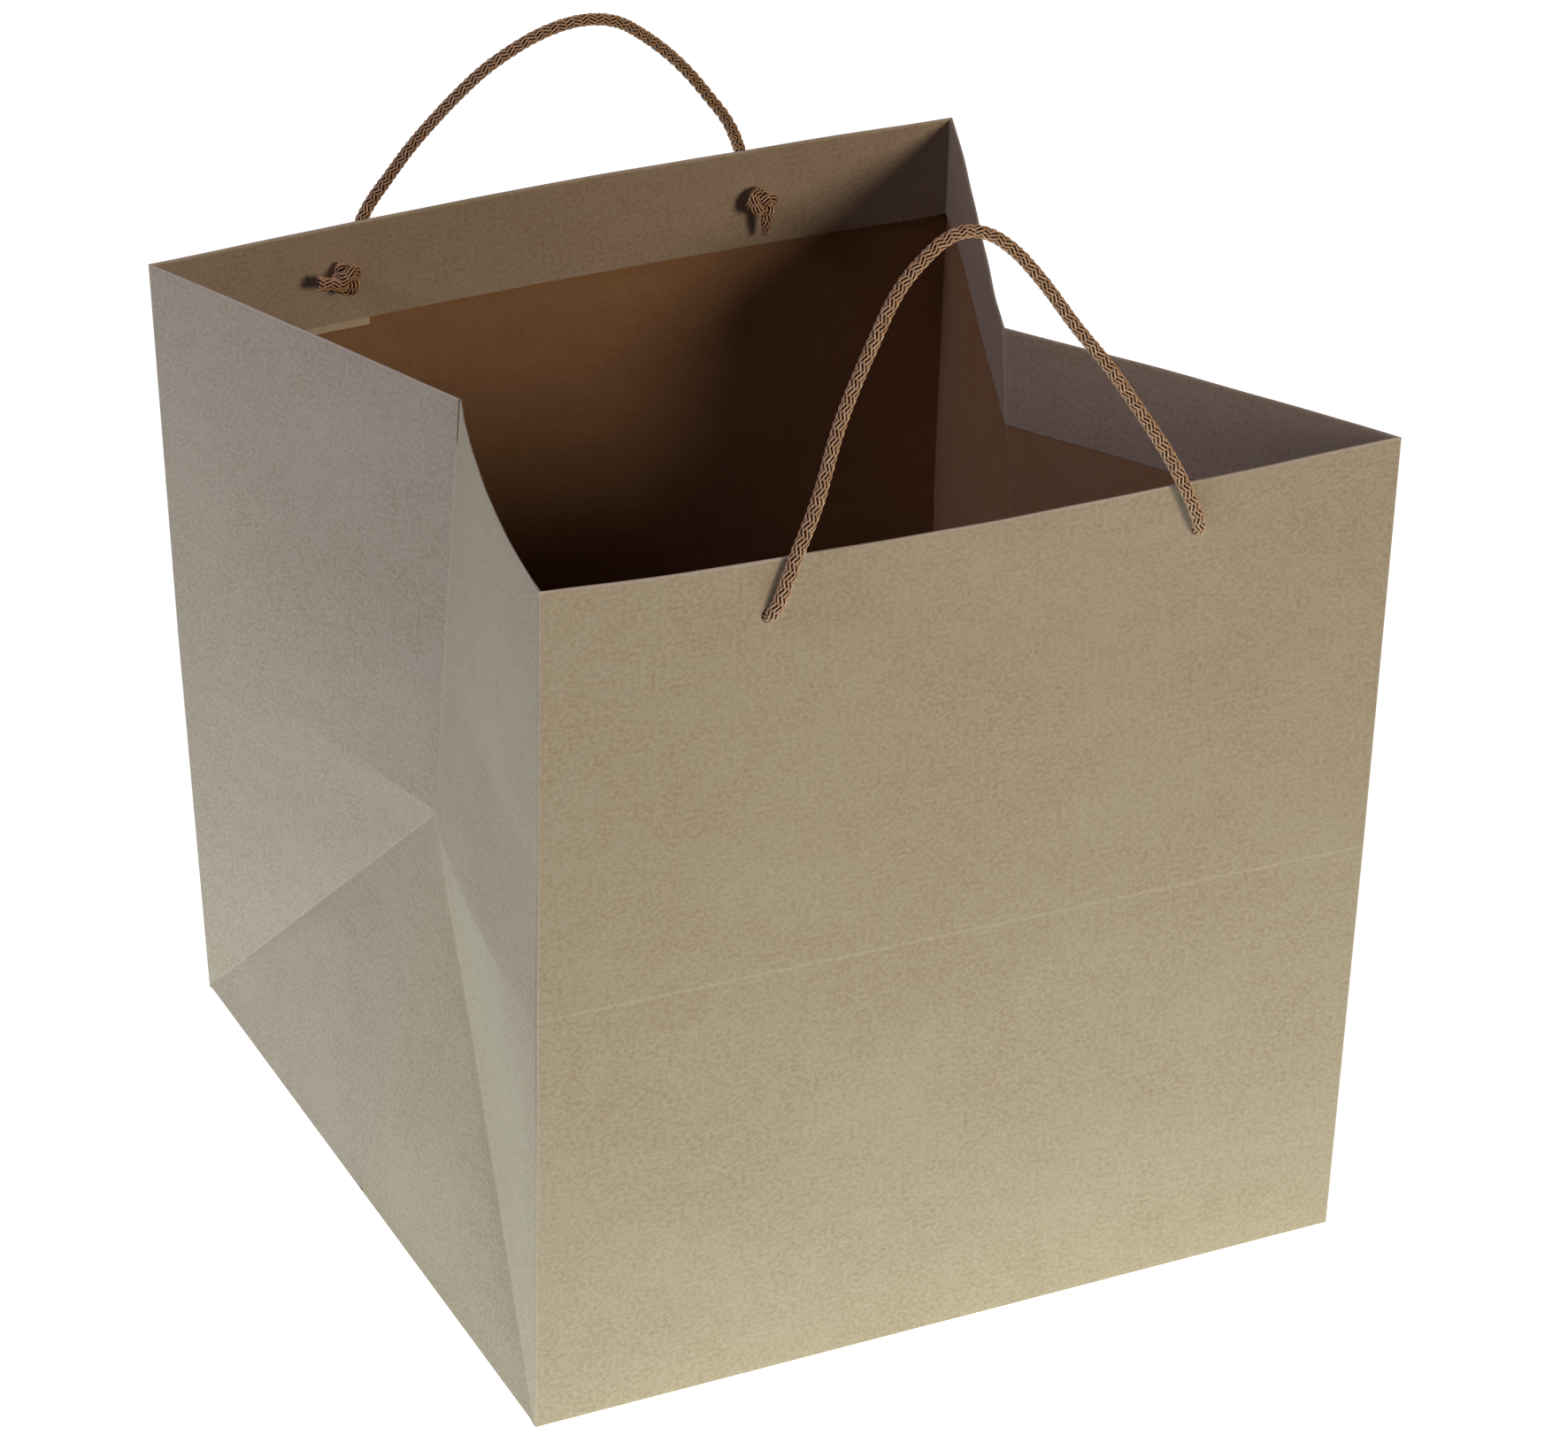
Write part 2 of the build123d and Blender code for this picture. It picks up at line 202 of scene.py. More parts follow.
def wall_middle(panel, a):
    """0 at the corners of the front or back, and 1 at its fullest place."""
    if panel == FRONT:
        return np.sin(math.pi * unit(a / SIDE) ** FRONT_SKEW)
    return np.sin(math.pi * a / SIDE)


def bow(panel, a, z):
    """Outward swell of the paper in millimetres."""
    arch = np.sin(math.pi * unit(z / CREASE))
    high = smooth((z - CREASE) / CREASE)
    if panel in WALL_SWELL:
        low_swell, high_swell = WALL_SWELL[panel]
        return wall_middle(panel, a) * (low_swell * arch + high_swell * high)
    edge = np.minimum(a, SIDE - a)
    first_half = a <= HALF
    across = np.sin(math.pi * edge / HALF)
    first_swell, second_swell = GUSSET_SWELL[panel]
    out = np.where(first_half, first_swell, second_swell) * (high * across)
    low = np.where(z < edge, GUSSET_LOW_SWELL * arch * (1 - edge / HALF) * across, 0.0)
    ridge = RIDGE_DEPTH * unit(1 - (HALF - edge) / RIDGE_REACH) * arch
    waist = 0.0
    if panel == LEFT:
        # the fore half's crease stands out between the apex and the front corner
        tent = unit(1 - np.abs(z - CREASE) / WAIST_REACH)
        waist = np.where(first_half, 0.0, WAIST_SWELL * np.sqrt(unit(across)) * tent)
        above_diagonal = unit((z - edge) / WAIST_FADE) * 0.7 + 0.3 * (z > edge)
        waist = waist * np.where(z < CREASE, above_diagonal, 1.0)
    return out + low + waist - np.where(z < CREASE, ridge, 0.0)


def rim_lift(panel, a, z):
    """How far the paper is raised by the arch or dip of its rim, in millimetres."""
    if panel not in RIM_RISE:
        return np.zeros(len(a))
    return RIM_RISE[panel] * wall_middle(panel, a) * smooth((z - CREASE) / CREASE)


def soft_panel(panel, a, z):
    """Folded planes with the waist crease worn soft where the gusset was never pressed flat."""
    p = flat_panel(panel, a, z)
    if panel in (FRONT, BACK):
        return p
    edge = np.minimum(a, SIDE - a)
    reach = SOFT_TURN * unit(1 - edge / SOFT_END) * unit(edge / SOFT_START)
    if panel == LEFT:
        reach = np.where(a <= HALF, reach, 0.0)
    near = np.abs(z - CREASE) < reach
    if near.any():
        r = reach[near]
        a, z = a[near], z[near]
        # a parabola that meets both planes at their own slope
        low, high = flat_panel(panel, a, CREASE - r), flat_panel(panel, a, CREASE + r)
        t = ((z - CREASE + r) / (2 * r))[:, None]
        mid = flat_panel(panel, a, np.full(len(a), CREASE))
        p[near] = low * (1 - t) ** 2 + 2 * mid * t * (1 - t) + high * t ** 2
    return p


def ripple(panel, a, z):
    """Small unevenness of a sheet, as a share of its full height."""
    return np.array([
        noise.noise(Vector((ai / 85.0, zi / 60.0, 7.3 * panel)))
        + 0.4 * noise.noise(Vector((ai / 30.0, zi / 24.0, 3.1 + panel)))
        for ai, zi in zip(a, z)
    ])


def panel_point(panel, a, z):
    """Points of one panel with its bows and small unevenness."""
    p = soft_panel(panel, a, z)
    da = flat_panel(panel, a + EPS, z) - flat_panel(panel, a - EPS, z)
    dz = flat_panel(panel, a, z + EPS) - flat_panel(panel, a, z - EPS)
    n = normed(np.cross(da, dz))
    edge = np.minimum(a, SIDE - a)
    # paper stays straight at its creases and free between them
    calm = unit(edge / 25.0) * unit(np.abs(z - CREASE) / 20.0 + 0.15)
    calm = calm * unit(z / 20.0)
    if panel in (LEFT, RIGHT):
        calm = calm * unit(np.abs(HALF - edge) / 20.0)
        calm = calm * np.where(z < CREASE, unit(np.abs(edge - z) / 15.0), 1.0)
    swell = bow(panel, a, z) + RIPPLE * ripple(panel, a, z) * calm
    p = p + n * swell[:, None]
    p[:, 2] += rim_lift(panel, a, z)
    return p


def panel_of(run):
    """Which wall each distance round the bag falls on."""
    return np.minimum((np.mod(run, 4 * SIDE) // SIDE).astype(int), LEFT)


def sheet_point(run, z):
    """Points of the folded wrap: run goes round the bag from the front left corner, z up the sheet."""
    run = np.mod(np.asarray(run, float), 4 * SIDE)
    z = np.asarray(z, float)
    out = np.zeros((len(run), 3))
    panels = panel_of(run)
    for panel in np.unique(panels):
        m = panels == panel
        out[m] = panel_point(panel, run[m] - panel * SIDE, z[m])
    return out


def folded_point(run, z):
    """Sheet points with corners and waist crease turned, and the bottom lifted to its flaps."""
    run = np.asarray(run, float)
    z = np.asarray(z, float)
    a = np.mod(run, SIDE)
    edge = np.minimum(a, SIDE - a)
    p = sheet_point(run, z)
    at_corner = edge < 1e-6
    if at_corner.any():
        soft = 0.5 * p + 0.25 * (sheet_point(run - ROUND, z) + sheet_point(run + ROUND, z))
        p = np.where(at_corner[:, None], soft, p)
    at_waist = np.abs(z - CREASE) < 1e-6
    if at_waist.any():
        soft = 0.5 * p + 0.25 * (sheet_point(run, z - ROUND) + sheet_point(run, z + ROUND))
        p = np.where(at_waist[:, None], soft, p)
    # the gussets stand on the side flaps, which lie over the other two
    on_side = np.isin(panel_of(run), (LEFT, RIGHT))
    middle = unit(1 - (HALF - edge) / 3.0)
    lift = np.where(on_side, 0.6 + 1.0 * smooth(edge / 5.0) + 1.3 * middle, 0.6)
    p[:, 2] += lift * unit(1 - z / 8.0)
    return p


def sheet_frame(run, z):
    """Outward normal, direction up the sheet, and mitre stretch at the folds."""
    run = np.asarray(run, float)
    z = np.asarray(z, float)
    here = sheet_point(run, z)
    left = normed(here - sheet_point(run - EPS, z))
    right = normed(sheet_point(run + EPS, z) - here)
    up = normed(sheet_point(run, z + EPS) - sheet_point(run, z - EPS))
    n = normed(np.cross(normed(left + right), up))
    mitre = 1 / np.sqrt(np.clip((1 + (left * right).sum(1)) / 2, 0.2, 1))
    return n, up, mitre


def hem_gap(run):
    """From the wall to the hem inside it: the walls with cards have the wider gap."""
    a = np.mod(run, SIDE)
    edge = np.minimum(a, SIDE - a)
    full = np.where(np.isin(panel_of(run), (LEFT, RIGHT)), SIDE_HEM_GAP, WALL_HEM_GAP)
    corner_gap = (SIDE_HEM_GAP + WALL_HEM_GAP) / 2
    return corner_gap + (full - corner_gap) * smooth(edge / 10.0)


def inset_point(run, z, share):
    """Points inside the wall, at a share of the hem's gap."""
    run = np.asarray(run, float)
    a = np.mod(run, SIDE)
    panel = np.floor(run / SIDE)
    gap = hem_gap(run) * share
    edge = np.minimum(a, SIDE - a)
    pulled = gap + edge * (HALF - gap) / HALF
    shifted = np.where(edge < 1e-6, a, np.where(a <= HALF, pulled, SIDE - pulled))
    run = panel * SIDE + shifted
    n, _, mitre = sheet_frame(run, z)
    return sheet_point(run, z) - n * (gap * mitre)[:, None]


def shell_point(run, rise):
    """Points of the wrap and its turned hem: rise passes the rim and comes down inside."""
    run = np.asarray(run, float)
    rise = np.asarray(rise, float)
    out = np.zeros((len(run), 3))
    gap = hem_gap(run)
    wall = rise <= RIM - TURN
    out[wall] = folded_point(run[wall], rise[wall])
    turn = ~wall
    # the turn at the rim is a half circle, then the hem runs down
    past = (rise[turn] - (RIM - TURN)) / (2 * TURN)
    angle = np.pi * unit(past)
    r = gap[turn] / 2
    turned = r * (1 - np.sin(angle)) + (TURN - r) * np.abs(np.cos(angle)) ** 3
    down = np.where(past <= 1, turned, rise[turn] - RIM)
    share = (1 - np.cos(angle)) / 2
    out[turn] = inset_point(run[turn], RIM - down, share)
    return out


class Grid:
    """Collects the vertices, faces and sheet coordinates of one paper mesh."""

    def __init__(self):
        self.points, self.faces, self.coords = [], [], []

    def add(self, points, coords):
        start = len(self.points)
        self.points.extend(points)
        self.coords.extend(coords)
        return start

    def mesh(self, name):
        mesh = bpy.data.meshes.new(name)
        mesh.from_pydata([tuple(np.array(p) * MM) for p in self.points], [], self.faces)
        # the faces are built outward side first, so the modifier thickens them inward
        attr = mesh.attributes.new("sheet", "FLOAT_VECTOR", "POINT")
        attr.data.foreach_set("vector", np.array(self.coords, np.float32).ravel())
        mesh.update()
        return mesh


def lines(length, holes, creases):
    """Grid lines of one direction: close pairs beside folds, and a three-line block at each hole."""
    base = list(np.arange(0, length + 0.1, CELL))
    for fold in creases:
        base = [v for v in base if abs(v - fold) > 1.5] + [fold - ROUND, fold, fold + ROUND]
    base = [v for v in base if 0 <= v <= length]
    for hole in holes:
        base = [v for v in base if abs(v - hole) > HOLE_BLOCK + 1.2]
        base += [hole - HOLE_BLOCK, hole, hole + HOLE_BLOCK]
    return sorted(set(round(float(v), 4) for v in base))


def nearest(values, value):
    return int(np.argmin(np.abs(np.array(values) - value)))


def punch(grid, ring, run, rise, point):
    """Fills the block left open round a hole with faces that end on its circle."""
    turn = [2 * math.pi * k / HOLE_SIDES for k in range(HOLE_SIDES)]
    circle_runs = [run + HOLE_RADIUS * math.cos(t) for t in turn]
    circle_rise = [rise + HOLE_RADIUS * math.sin(t) for t in turn]
    coords = [(a, b, 0.0) for a, b in zip(circle_runs, circle_rise)]
    start = grid.add(list(point(circle_runs, circle_rise)), coords)
    for k in range(HOLE_SIDES // 2):
        o0, o1 = ring[k], ring[(k + 1) % len(ring)]
        c0, c1, c2 = start + 2 * k, start + 2 * k + 1, start + (2 * k + 2) % HOLE_SIDES
        grid.faces += [(o0, o1, c2, c1), (o0, c1, c0)]


def split_rim(grid, runs, rows):
    """Parts the sheet along the slit in the left gusset's middle fold; returns the doubled vertices."""
    columns = len(runs)
    c = nearest(runs, LEFT * SIDE + HALF)
    doubled = {}
    for j, rise in enumerate(rows):
        if abs(rise - RIM) >= SLIT_DEPTH:
            continue
        v = j * columns + c
        along = np.array(grid.points[v + 1]) - np.array(grid.points[v - 1])
        along /= np.linalg.norm(along)
        gap = SLIT_WIDTH / 2 * math.sqrt(1 - abs(rise - RIM) / SLIT_DEPTH)
        doubled[v] = grid.add([grid.points[v] + along * gap], [grid.coords[v]])
        grid.points[v] = grid.points[v] - along * gap
    return doubled


# the eight grid points round a hole's middle, as (column, row) steps
RING = [(1, 0), (1, 1), (0, 1), (-1, 1), (-1, 0), (-1, -1), (0, -1), (1, -1)]


def sheet_grid(runs, rows, holes, point, closed=False):
    """A sheet over grid lines, folded triangles split along their diagonals, and punched at its holes."""
    columns = len(runs)
    grid = Grid()
    side = [1.0 if int(run // SIDE) % 4 in (LEFT, RIGHT) else 0.0 for run in runs]
    for rise in rows:
        grid.add(list(point(runs, [rise] * columns)), [(run, rise, s) for run, s in zip(runs, side)])
    places = [(nearest(runs, run), nearest(rows, rise), run, rise + lift) for run, rise, lift in holes]
    skip = {(c + i, r + j) for c, r, _, _ in places for i in (-1, 0) for j in (-1, 0)}
    slit = split_rim(grid, runs, rows) if closed else {}
    for j in range(len(rows) - 1):
        for i in range(columns if closed else columns - 1):
            if (i, j) in skip:
                continue
            k = (i + 1) % columns
            v00, v10 = j * columns + i, j * columns + k
            v01, v11 = v00 + columns, v10 + columns
            v00, v01 = slit.get(v00, v00), slit.get(v01, v01)
            a = runs[i] % SIDE
            folds = int(runs[i] // SIDE) in (LEFT, RIGHT) and rows[j + 1] <= CREASE + 1e-6
            if folds and abs(a - rows[j]) < 1e-6:
                grid.faces += [(v00, v10, v11), (v00, v11, v01)]
            elif folds and abs((SIDE - a - (rows[j + 1] - rows[j])) - rows[j]) < 1e-3:
                grid.faces += [(v00, v10, v01), (v10, v11, v01)]
            else:
                grid.faces.append((v00, v10, v11, v01))
    for c, r, run, rise in places:
        punch(grid, [(r + j) * columns + c + i for i, j in RING], run, rise, point)
    return grid


def build_shell():
    """The wrap and its turned hem as one sheet, closed round the bag."""
    runs = []
    for panel in (FRONT, RIGHT, BACK, LEFT):
        middle = [] if panel in (FRONT, BACK) else [HALF]
        part = lines(SIDE, HOLE_RUNS.get(panel, ()), [0, SIDE] + middle)
        runs += [panel * SIDE + v for v in part if v < SIDE - 1e-6]
    wall_rows = [v for v in lines(RIM, [HOLE_RISE], [0, CREASE]) if v < RIM - 1.5 * TURN]
    turn_rows = [RIM - TURN + 2 * TURN * k / 6 for k in range(7)]
    hem_rows = [RIM + HEM - v for v in lines(HEM, [HOLE_RISE - RIM + HEM], []) if v < HEM - 2 * TURN]
    rows = wall_rows + turn_rows + sorted(hem_rows)
    # each hole goes through the wall and again, mirrored at the rim, through the hem
    holes = [
        (panel * SIDE + place, rise, lift * sign)
        for panel, places in HOLE_RUNS.items()
        for place, lift in zip(places, HOLE_LIFT[panel])
        for rise, sign in ((HOLE_RISE, 1), (2 * RIM - HOLE_RISE, -1))
    ]
    return sheet_grid(runs, rows, holes, shell_point, closed=True)


# --- node materials ---

class Nodes:
    """Short spellings for building a node material."""

    def __init__(self, name):
        self.material = bpy.data.materials.new(name)
        self.material.use_nodes = True
        self.tree = self.material.node_tree
        self.tree.nodes.clear()
        self.out = self.tree.nodes.new("ShaderNodeOutputMaterial")

    def put(self, socket, value):
        if isinstance(value, bpy.types.NodeSocket):
            self.tree.links.new(value, socket)
        elif value is not None:
            socket.default_value = value

    def add(self, kind, inputs=None, **settings):
        node = self.tree.nodes.new(kind)
        for key, value in settings.items():
            setattr(node, key, value)
        for key, value in (inputs or {}).items():
            self.put(node.inputs[key], value)
        return node

    def attribute(self, name):
        return self.add("ShaderNodeAttribute", attribute_name=name)

    def math(self, operation, a, b=None):
        return self.add("ShaderNodeMath", {0: a, 1: b}, operation=operation).outputs[0]

    def times(self, a, b):
        return self.math("MULTIPLY", a, b)

    def clamp_map(self, value, lo, hi, to_lo=0.0, to_hi=1.0, kind="SMOOTHSTEP"):
        inputs = {"Value": value, "From Min": lo, "From Max": hi, "To Min": to_lo, "To Max": to_hi}
        return self.add("ShaderNodeMapRange", inputs, interpolation_type=kind).outputs[0]

    def near(self, value, place, inner, outer, strength=1.0):
        """strength within inner of a place, fading to nothing at outer."""
        distance = self.math("ABSOLUTE", self.math("SUBTRACT", value, place))
        return self.clamp_map(distance, inner, outer, strength, 0.0)

    def noise(self, vector, scale, detail=2.0, roughness=0.5):
        inputs = {"Vector": vector, "Scale": scale, "Detail": detail, "Roughness": roughness}
        return self.add("ShaderNodeTexNoise", inputs).outputs["Fac"]

    def scaled(self, vector, scale, turn=0.0):
        inputs = {"Vector": vector, "Scale": scale, "Rotation": (0, 0, turn)}
        return self.add("ShaderNodeMapping", inputs).outputs[0]

    def mix(self, factor, a, b, blend="MIX"):
        return self.add("ShaderNodeMix", {0: factor, 6: a, 7: b}, data_type="RGBA", blend_type=blend).outputs[2]

    def bump(self, height, strength, distance):
        inputs = {"Height": height, "Strength": strength, "Distance": distance}
        return self.add("ShaderNodeBump", inputs).outputs[0]

    def surface(self, color, roughness, normal, specular):
        inputs = {"Base Color": color, "Roughness": roughness, "Specular IOR Level": specular, "Normal": normal}
        shader = self.add("ShaderNodeBsdfPrincipled", inputs)
        self.tree.links.new(shader.outputs[0], self.out.inputs["Surface"])
        return self.material


FLECK = (0.74, 0.72, 0.62, 1)
SHIVE = (0.16, 0.11, 0.07, 1)
# a pale line at the rim, partly wear and partly painted highlight where the edge catches light
RIM_WEAR_AND_HIGHLIGHT = (0.86, 0.82, 0.72, 1)
# painted shade in the slit at the top of the left gusset's middle fold
SLIT_PAINTED_SHADE = (0.06, 0.045, 0.03, 1)
# painted tints for room light on the turned hem and on the left gusset's two halves
HEM_PAINTED_TINT = (1.0, 0.99, 1.09, 1)
REAR_PAINTED_TINT = (1.0, 0.985, 1.06, 1)
FORE_PAINTED_TINT = (1.02, 1.01, 0.99, 1)


def fold_wear_and_highlights(m, color, flat, run, rise, side, fibre):
    """Pale lines along the folds, partly wear and partly painted highlight; a pale rim edge, partly wear and partly
    painted highlight; and painted shade in the short slit at the rim.
    """
    along = m.math("MODULO", run, SIDE)
    edge = m.math("MINIMUM", along, m.math("SUBTRACT", SIDE, along))
    worn = m.clamp_map(m.noise(flat, 0.25, 3.0, 0.6), 0.3, 0.7, 0.35, 1.0)
    corner_line = m.clamp_map(edge, 0.2, 1.3, 1.0, 0.0)
    # near their middle fold the gussets' waists were never pressed flat
    unpressed = m.times(side, m.clamp_map(edge, 110.0, 150.0, 1.0, 0.0))
    waist_line = m.times(m.near(rise, CREASE, 0.15, 1.0), m.math("SUBTRACT", 1.0, unpressed))
    diagonal = m.times(m.near(edge, rise, 0.3, 1.6), side)
    pressed = m.times(side, m.clamp_map(rise, CREASE - 6, CREASE, 0.25, 1.0))
    centre = m.times(m.near(edge, HALF, 0.1, 0.9), pressed)
    wear_and_highlight = m.near(rise, RIM, 0.4, 1.1)
    # the fold lines are paled partly as wear and partly as painted highlight
    for line, share in ((corner_line, 0.8), (waist_line, 0.55), (diagonal, 0.35), (centre, 0.9)):
        wear_and_highlight = m.math("MAXIMUM", wear_and_highlight, m.times(line, share))
    color = m.mix(m.times(m.times(wear_and_highlight, worn), 0.6), color, fibre)
    # painted highlight, with some wear, along the rim's edge
    rim_wear_and_highlight = m.times(m.near(rise, RIM - 0.2, 0.15, 0.8), m.math("SUBTRACT", 0.6, m.times(side, 0.35)))
    color = m.mix(rim_wear_and_highlight, color, RIM_WEAR_AND_HIGHLIGHT)
    # painted shade in the slit
    slit_shade = m.times(m.near(run, LEFT * SIDE + HALF, 0.25, 0.45), m.near(rise, RIM, SLIT_DEPTH - 3, SLIT_DEPTH, 0.9))
    return m.mix(slit_shade, color, SLIT_PAINTED_SHADE)


def painted_room_tints(m, color, run, rise):
    """Painted tints for room light: the turned hem is tinted a little rosier for the shade of the mouth, and the
    left gusset's rear half cooler and its fore half warmer for the light that falls on each."""
    hem_tint_share = m.times(m.clamp_map(rise, RIM + 1.0, RIM + 2.0), 0.9)
    color = m.mix(hem_tint_share, color, HEM_PAINTED_TINT, "MULTIPLY")
    on_left = m.clamp_map(run, LEFT * SIDE, LEFT * SIDE + 0.5)
    on_left = m.times(on_left, m.clamp_map(rise, RIM - 1.0, RIM, 1.0, 0.0))
    fore = m.clamp_map(run, LEFT * SIDE + HALF - 1.5, LEFT * SIDE + HALF + 1.5)
    painted_tint = m.mix(fore, REAR_PAINTED_TINT, FORE_PAINTED_TINT)
    return m.mix(on_left, color, m.mix(1.0, color, painted_tint, "MULTIPLY"))


def paper_material(name, tone, dark, pale, fibre, creases=True):
    """Kraft paper: clouded pulp, fine fibres, light flecks and dark shives. Sheet coordinates are in mm."""
    m = Nodes(name)
    sheet = m.attribute("sheet").outputs["Vector"]
    parts = m.add("ShaderNodeSeparateXYZ", {0: sheet})
    run, rise, side = parts.outputs[0], parts.outputs[1], parts.outputs[2]
    flat = m.add("ShaderNodeCombineXYZ", {0: run, 1: rise, 2: 0.0}).outputs[0]
    cloud = m.noise(flat, 0.016, 3.0, 0.55)
    patches = m.noise(flat, 0.11, 4.0, 0.65)
    mottle = m.noise(m.scaled(flat, (0.9, 1.1, 1)), 0.62, 4.0, 0.6)
    grain = m.noise(flat, 2.6, 2.0, 0.6)
    long_fibre = m.noise(m.scaled(flat, (0.45, 4.2, 1)), 1.0, 3.0, 0.6)
    cross_fibre = m.noise(m.scaled(flat, (0.7, 4.0, 1), 0.5), 1.0, 3.0, 0.6)
    steep_fibre = m.noise(m.scaled(flat, (0.8, 4.4, 1), -0.75), 1.0, 3.0, 0.6)
    flecks = m.noise(m.scaled(flat, (0.9, 1.9, 1), 1.9), 0.9, 1.0, 0.4)
    shives = m.noise(m.scaled(flat, (0.7, 2.3, 1), 2.6), 0.9, 1.0, 0.4)
    color = tone
    for layer, lo, hi, share, tint in (
        (mottle, 0.30, 0.70, 0.90, dark),
        (patches, 0.38, 0.64, 0.22, pale),
        (cloud, 0.35, 0.70, 0.22, pale),
        (grain, 0.42, 0.70, 0.40, pale),
        (long_fibre, 0.60, 0.74, 0.40, fibre),
        (cross_fibre, 0.63, 0.76, 0.35, fibre),
        (steep_fibre, 0.64, 0.77, 0.35, fibre),
        (flecks, 0.775, 0.80, 0.75, FLECK),
        (shives, 0.79, 0.81, 0.60, SHIVE),
    ):
        color = m.mix(m.clamp_map(layer, lo, hi, 0.0, share), color, tint)
    height = m.math("ADD", m.times(grain, 0.4), m.times(long_fibre, 0.35))
    height = m.math("ADD", m.times(mottle, 0.5), height)
    if creases:
        # pale fold and rim lines, partly wear and partly painted highlight, and painted shade in the slit
        color = fold_wear_and_highlights(m, color, flat, run, rise, side, fibre)
        # painted tints standing in for room light
        color = painted_room_tints(m, color, run, rise)
    rough = m.clamp_map(mottle, 0.3, 0.7, 0.62, 0.78, "LINEAR")
    return m.surface(color, rough, m.bump(height, 0.3, 0.00004), 0.28)


# tone, dark, pale and fibre colours
outer_paper = paper_material(
    "kraft_outer", (0.47, 0.40, 0.275, 1), (0.335, 0.258, 0.168, 1), (0.50, 0.45, 0.325, 1), (0.66, 0.61, 0.48, 1))
inner_paper = paper_material(
    "kraft_inner", (0.35, 0.205, 0.102, 1), (0.28, 0.155, 0.072, 1), (0.40, 0.25, 0.14, 1), (0.46, 0.31, 0.19, 1))
edge_paper = paper_material(
    "kraft_cut_edge", (0.66, 0.58, 0.44, 1), (0.54, 0.46, 0.33, 1), (0.70, 0.63, 0.50, 1), (0.74, 0.68, 0.56, 1),
    creases=False)
card_material = paper_material(
    "grey_board", (0.36, 0.335, 0.30, 1), (0.28, 0.255, 0.225, 1), (0.42, 0.40, 0.36, 1), (0.52, 0.50, 0.46, 1),
    creases=False)


def rope_material(name, light, deep, gap, stray):
    """Brown braid: tone drifts along the strands, fine twist and stray hairs, and painted shade in the gaps between
    strands and where strands pass under.
    """
    m = Nodes(name)
    strand = m.attribute("strand").outputs["Vector"]
    parts = m.add("ShaderNodeSeparateXYZ", {0: strand})
    along, across, depth = parts.outputs[0], parts.outputs[1], parts.outputs[2]
    place = m.add("ShaderNodeCombineXYZ", {0: along, 1: across, 2: 0.0}).outputs[0]
    tone = m.noise(place, 0.22, 3.0, 0.6)
    twist = m.math("SINE", m.math("ADD", m.times(along, 5.5), m.times(across, 3.0)))
    hair = m.noise(m.scaled(place, (1.2, 9.0, 1)), 1.0, 3.0, 0.65)
    color = m.mix(m.clamp_map(tone, 0.35, 0.68), light, deep)
    color = m.mix(m.clamp_map(twist, -1.0, 1.0, 0.25, 0.0), color, deep)
    color = m.mix(m.clamp_map(hair, 0.55, 0.75, 0.0, 0.35), color, stray)
    # painted shade: strands darken where they pass under, and the core is fully dark
    color = m.mix(depth, color, gap)
    height = m.math("ADD", m.times(twist, 0.5), hair)
    return m.surface(color, 0.5, m.bump(height, 0.5, 0.0001), 0.5)


# the third colour is painted shade for the gaps and for strands that pass under
rope_fibre = rope_material(
    "rope_braid", (0.86, 0.60, 0.38, 1), (0.66, 0.40, 0.20, 1), (0.030, 0.010, 0.004, 1), (0.62, 0.45, 0.30, 1))


# --- paper pieces ---

def link(mesh, name, materials):
    """Puts a mesh in the scene as a smooth shaded piece."""
    obj = bpy.data.objects.new(name, mesh)
    bpy.context.scene.collection.objects.link(obj)
    for material in materials:
        mesh.materials.append(material)
    mesh.polygons.foreach_set("use_smooth", [True] * len(mesh.polygons))
    return obj


def apply_modifiers(obj):
    bpy.context.view_layer.update()
    graph = bpy.context.evaluated_depsgraph_get()
    shaped = obj.evaluated_get(graph)
    mesh = bpy.data.meshes.new_from_object(shaped, preserve_all_data_layers=True, depsgraph=graph)
    obj.modifiers.clear()
    obj.data = mesh


PAPER_SIDES = [outer_paper, inner_paper, edge_paper]
SHARP_FOLD = math.radians(12)


def paper_piece(grid, name, nodes=(), materials=PAPER_SIDES, thickness=PAPER):
    """A sheet thickened inward, riding the bag. Its materials are its outside, its inside and its cut edges."""
    obj = link(grid.mesh(name), name, materials)
    solid = obj.modifiers.new("thickness", "SOLIDIFY")
    solid.thickness = thickness * MM
    solid.offset = -1.0
    solid.use_even_offset = True
    solid.thickness_clamp = 0.0
    solid.material_offset = 1
    solid.material_offset_rim = 2
    apply_modifiers(obj)
    obj.data.set_sharp_from_angle(angle=SHARP_FOLD)
    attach(obj, "bag")
    if nodes:
        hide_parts(*nodes)


GUSSET_NODES = [
    f"{side}_gusset_{half}{part}"
    for side in ("left", "right") for half in ("fore", "rear") for part in ("", "_hem")
]
SHELL_NODES = [
    "front_panel", "back_panel", "left_lower_triangle", "right_lower_triangle", "front_hem", "back_hem",
] + GUSSET_NODES
paper_piece(build_shell(), "paper_shell", SHELL_NODES)


def inset(depth):
    """Points a fixed depth inside the wall."""
    def point(run, z):
        n, _, _ = sheet_frame(run, z)
        return sheet_point(run, z) - n * depth
    return point


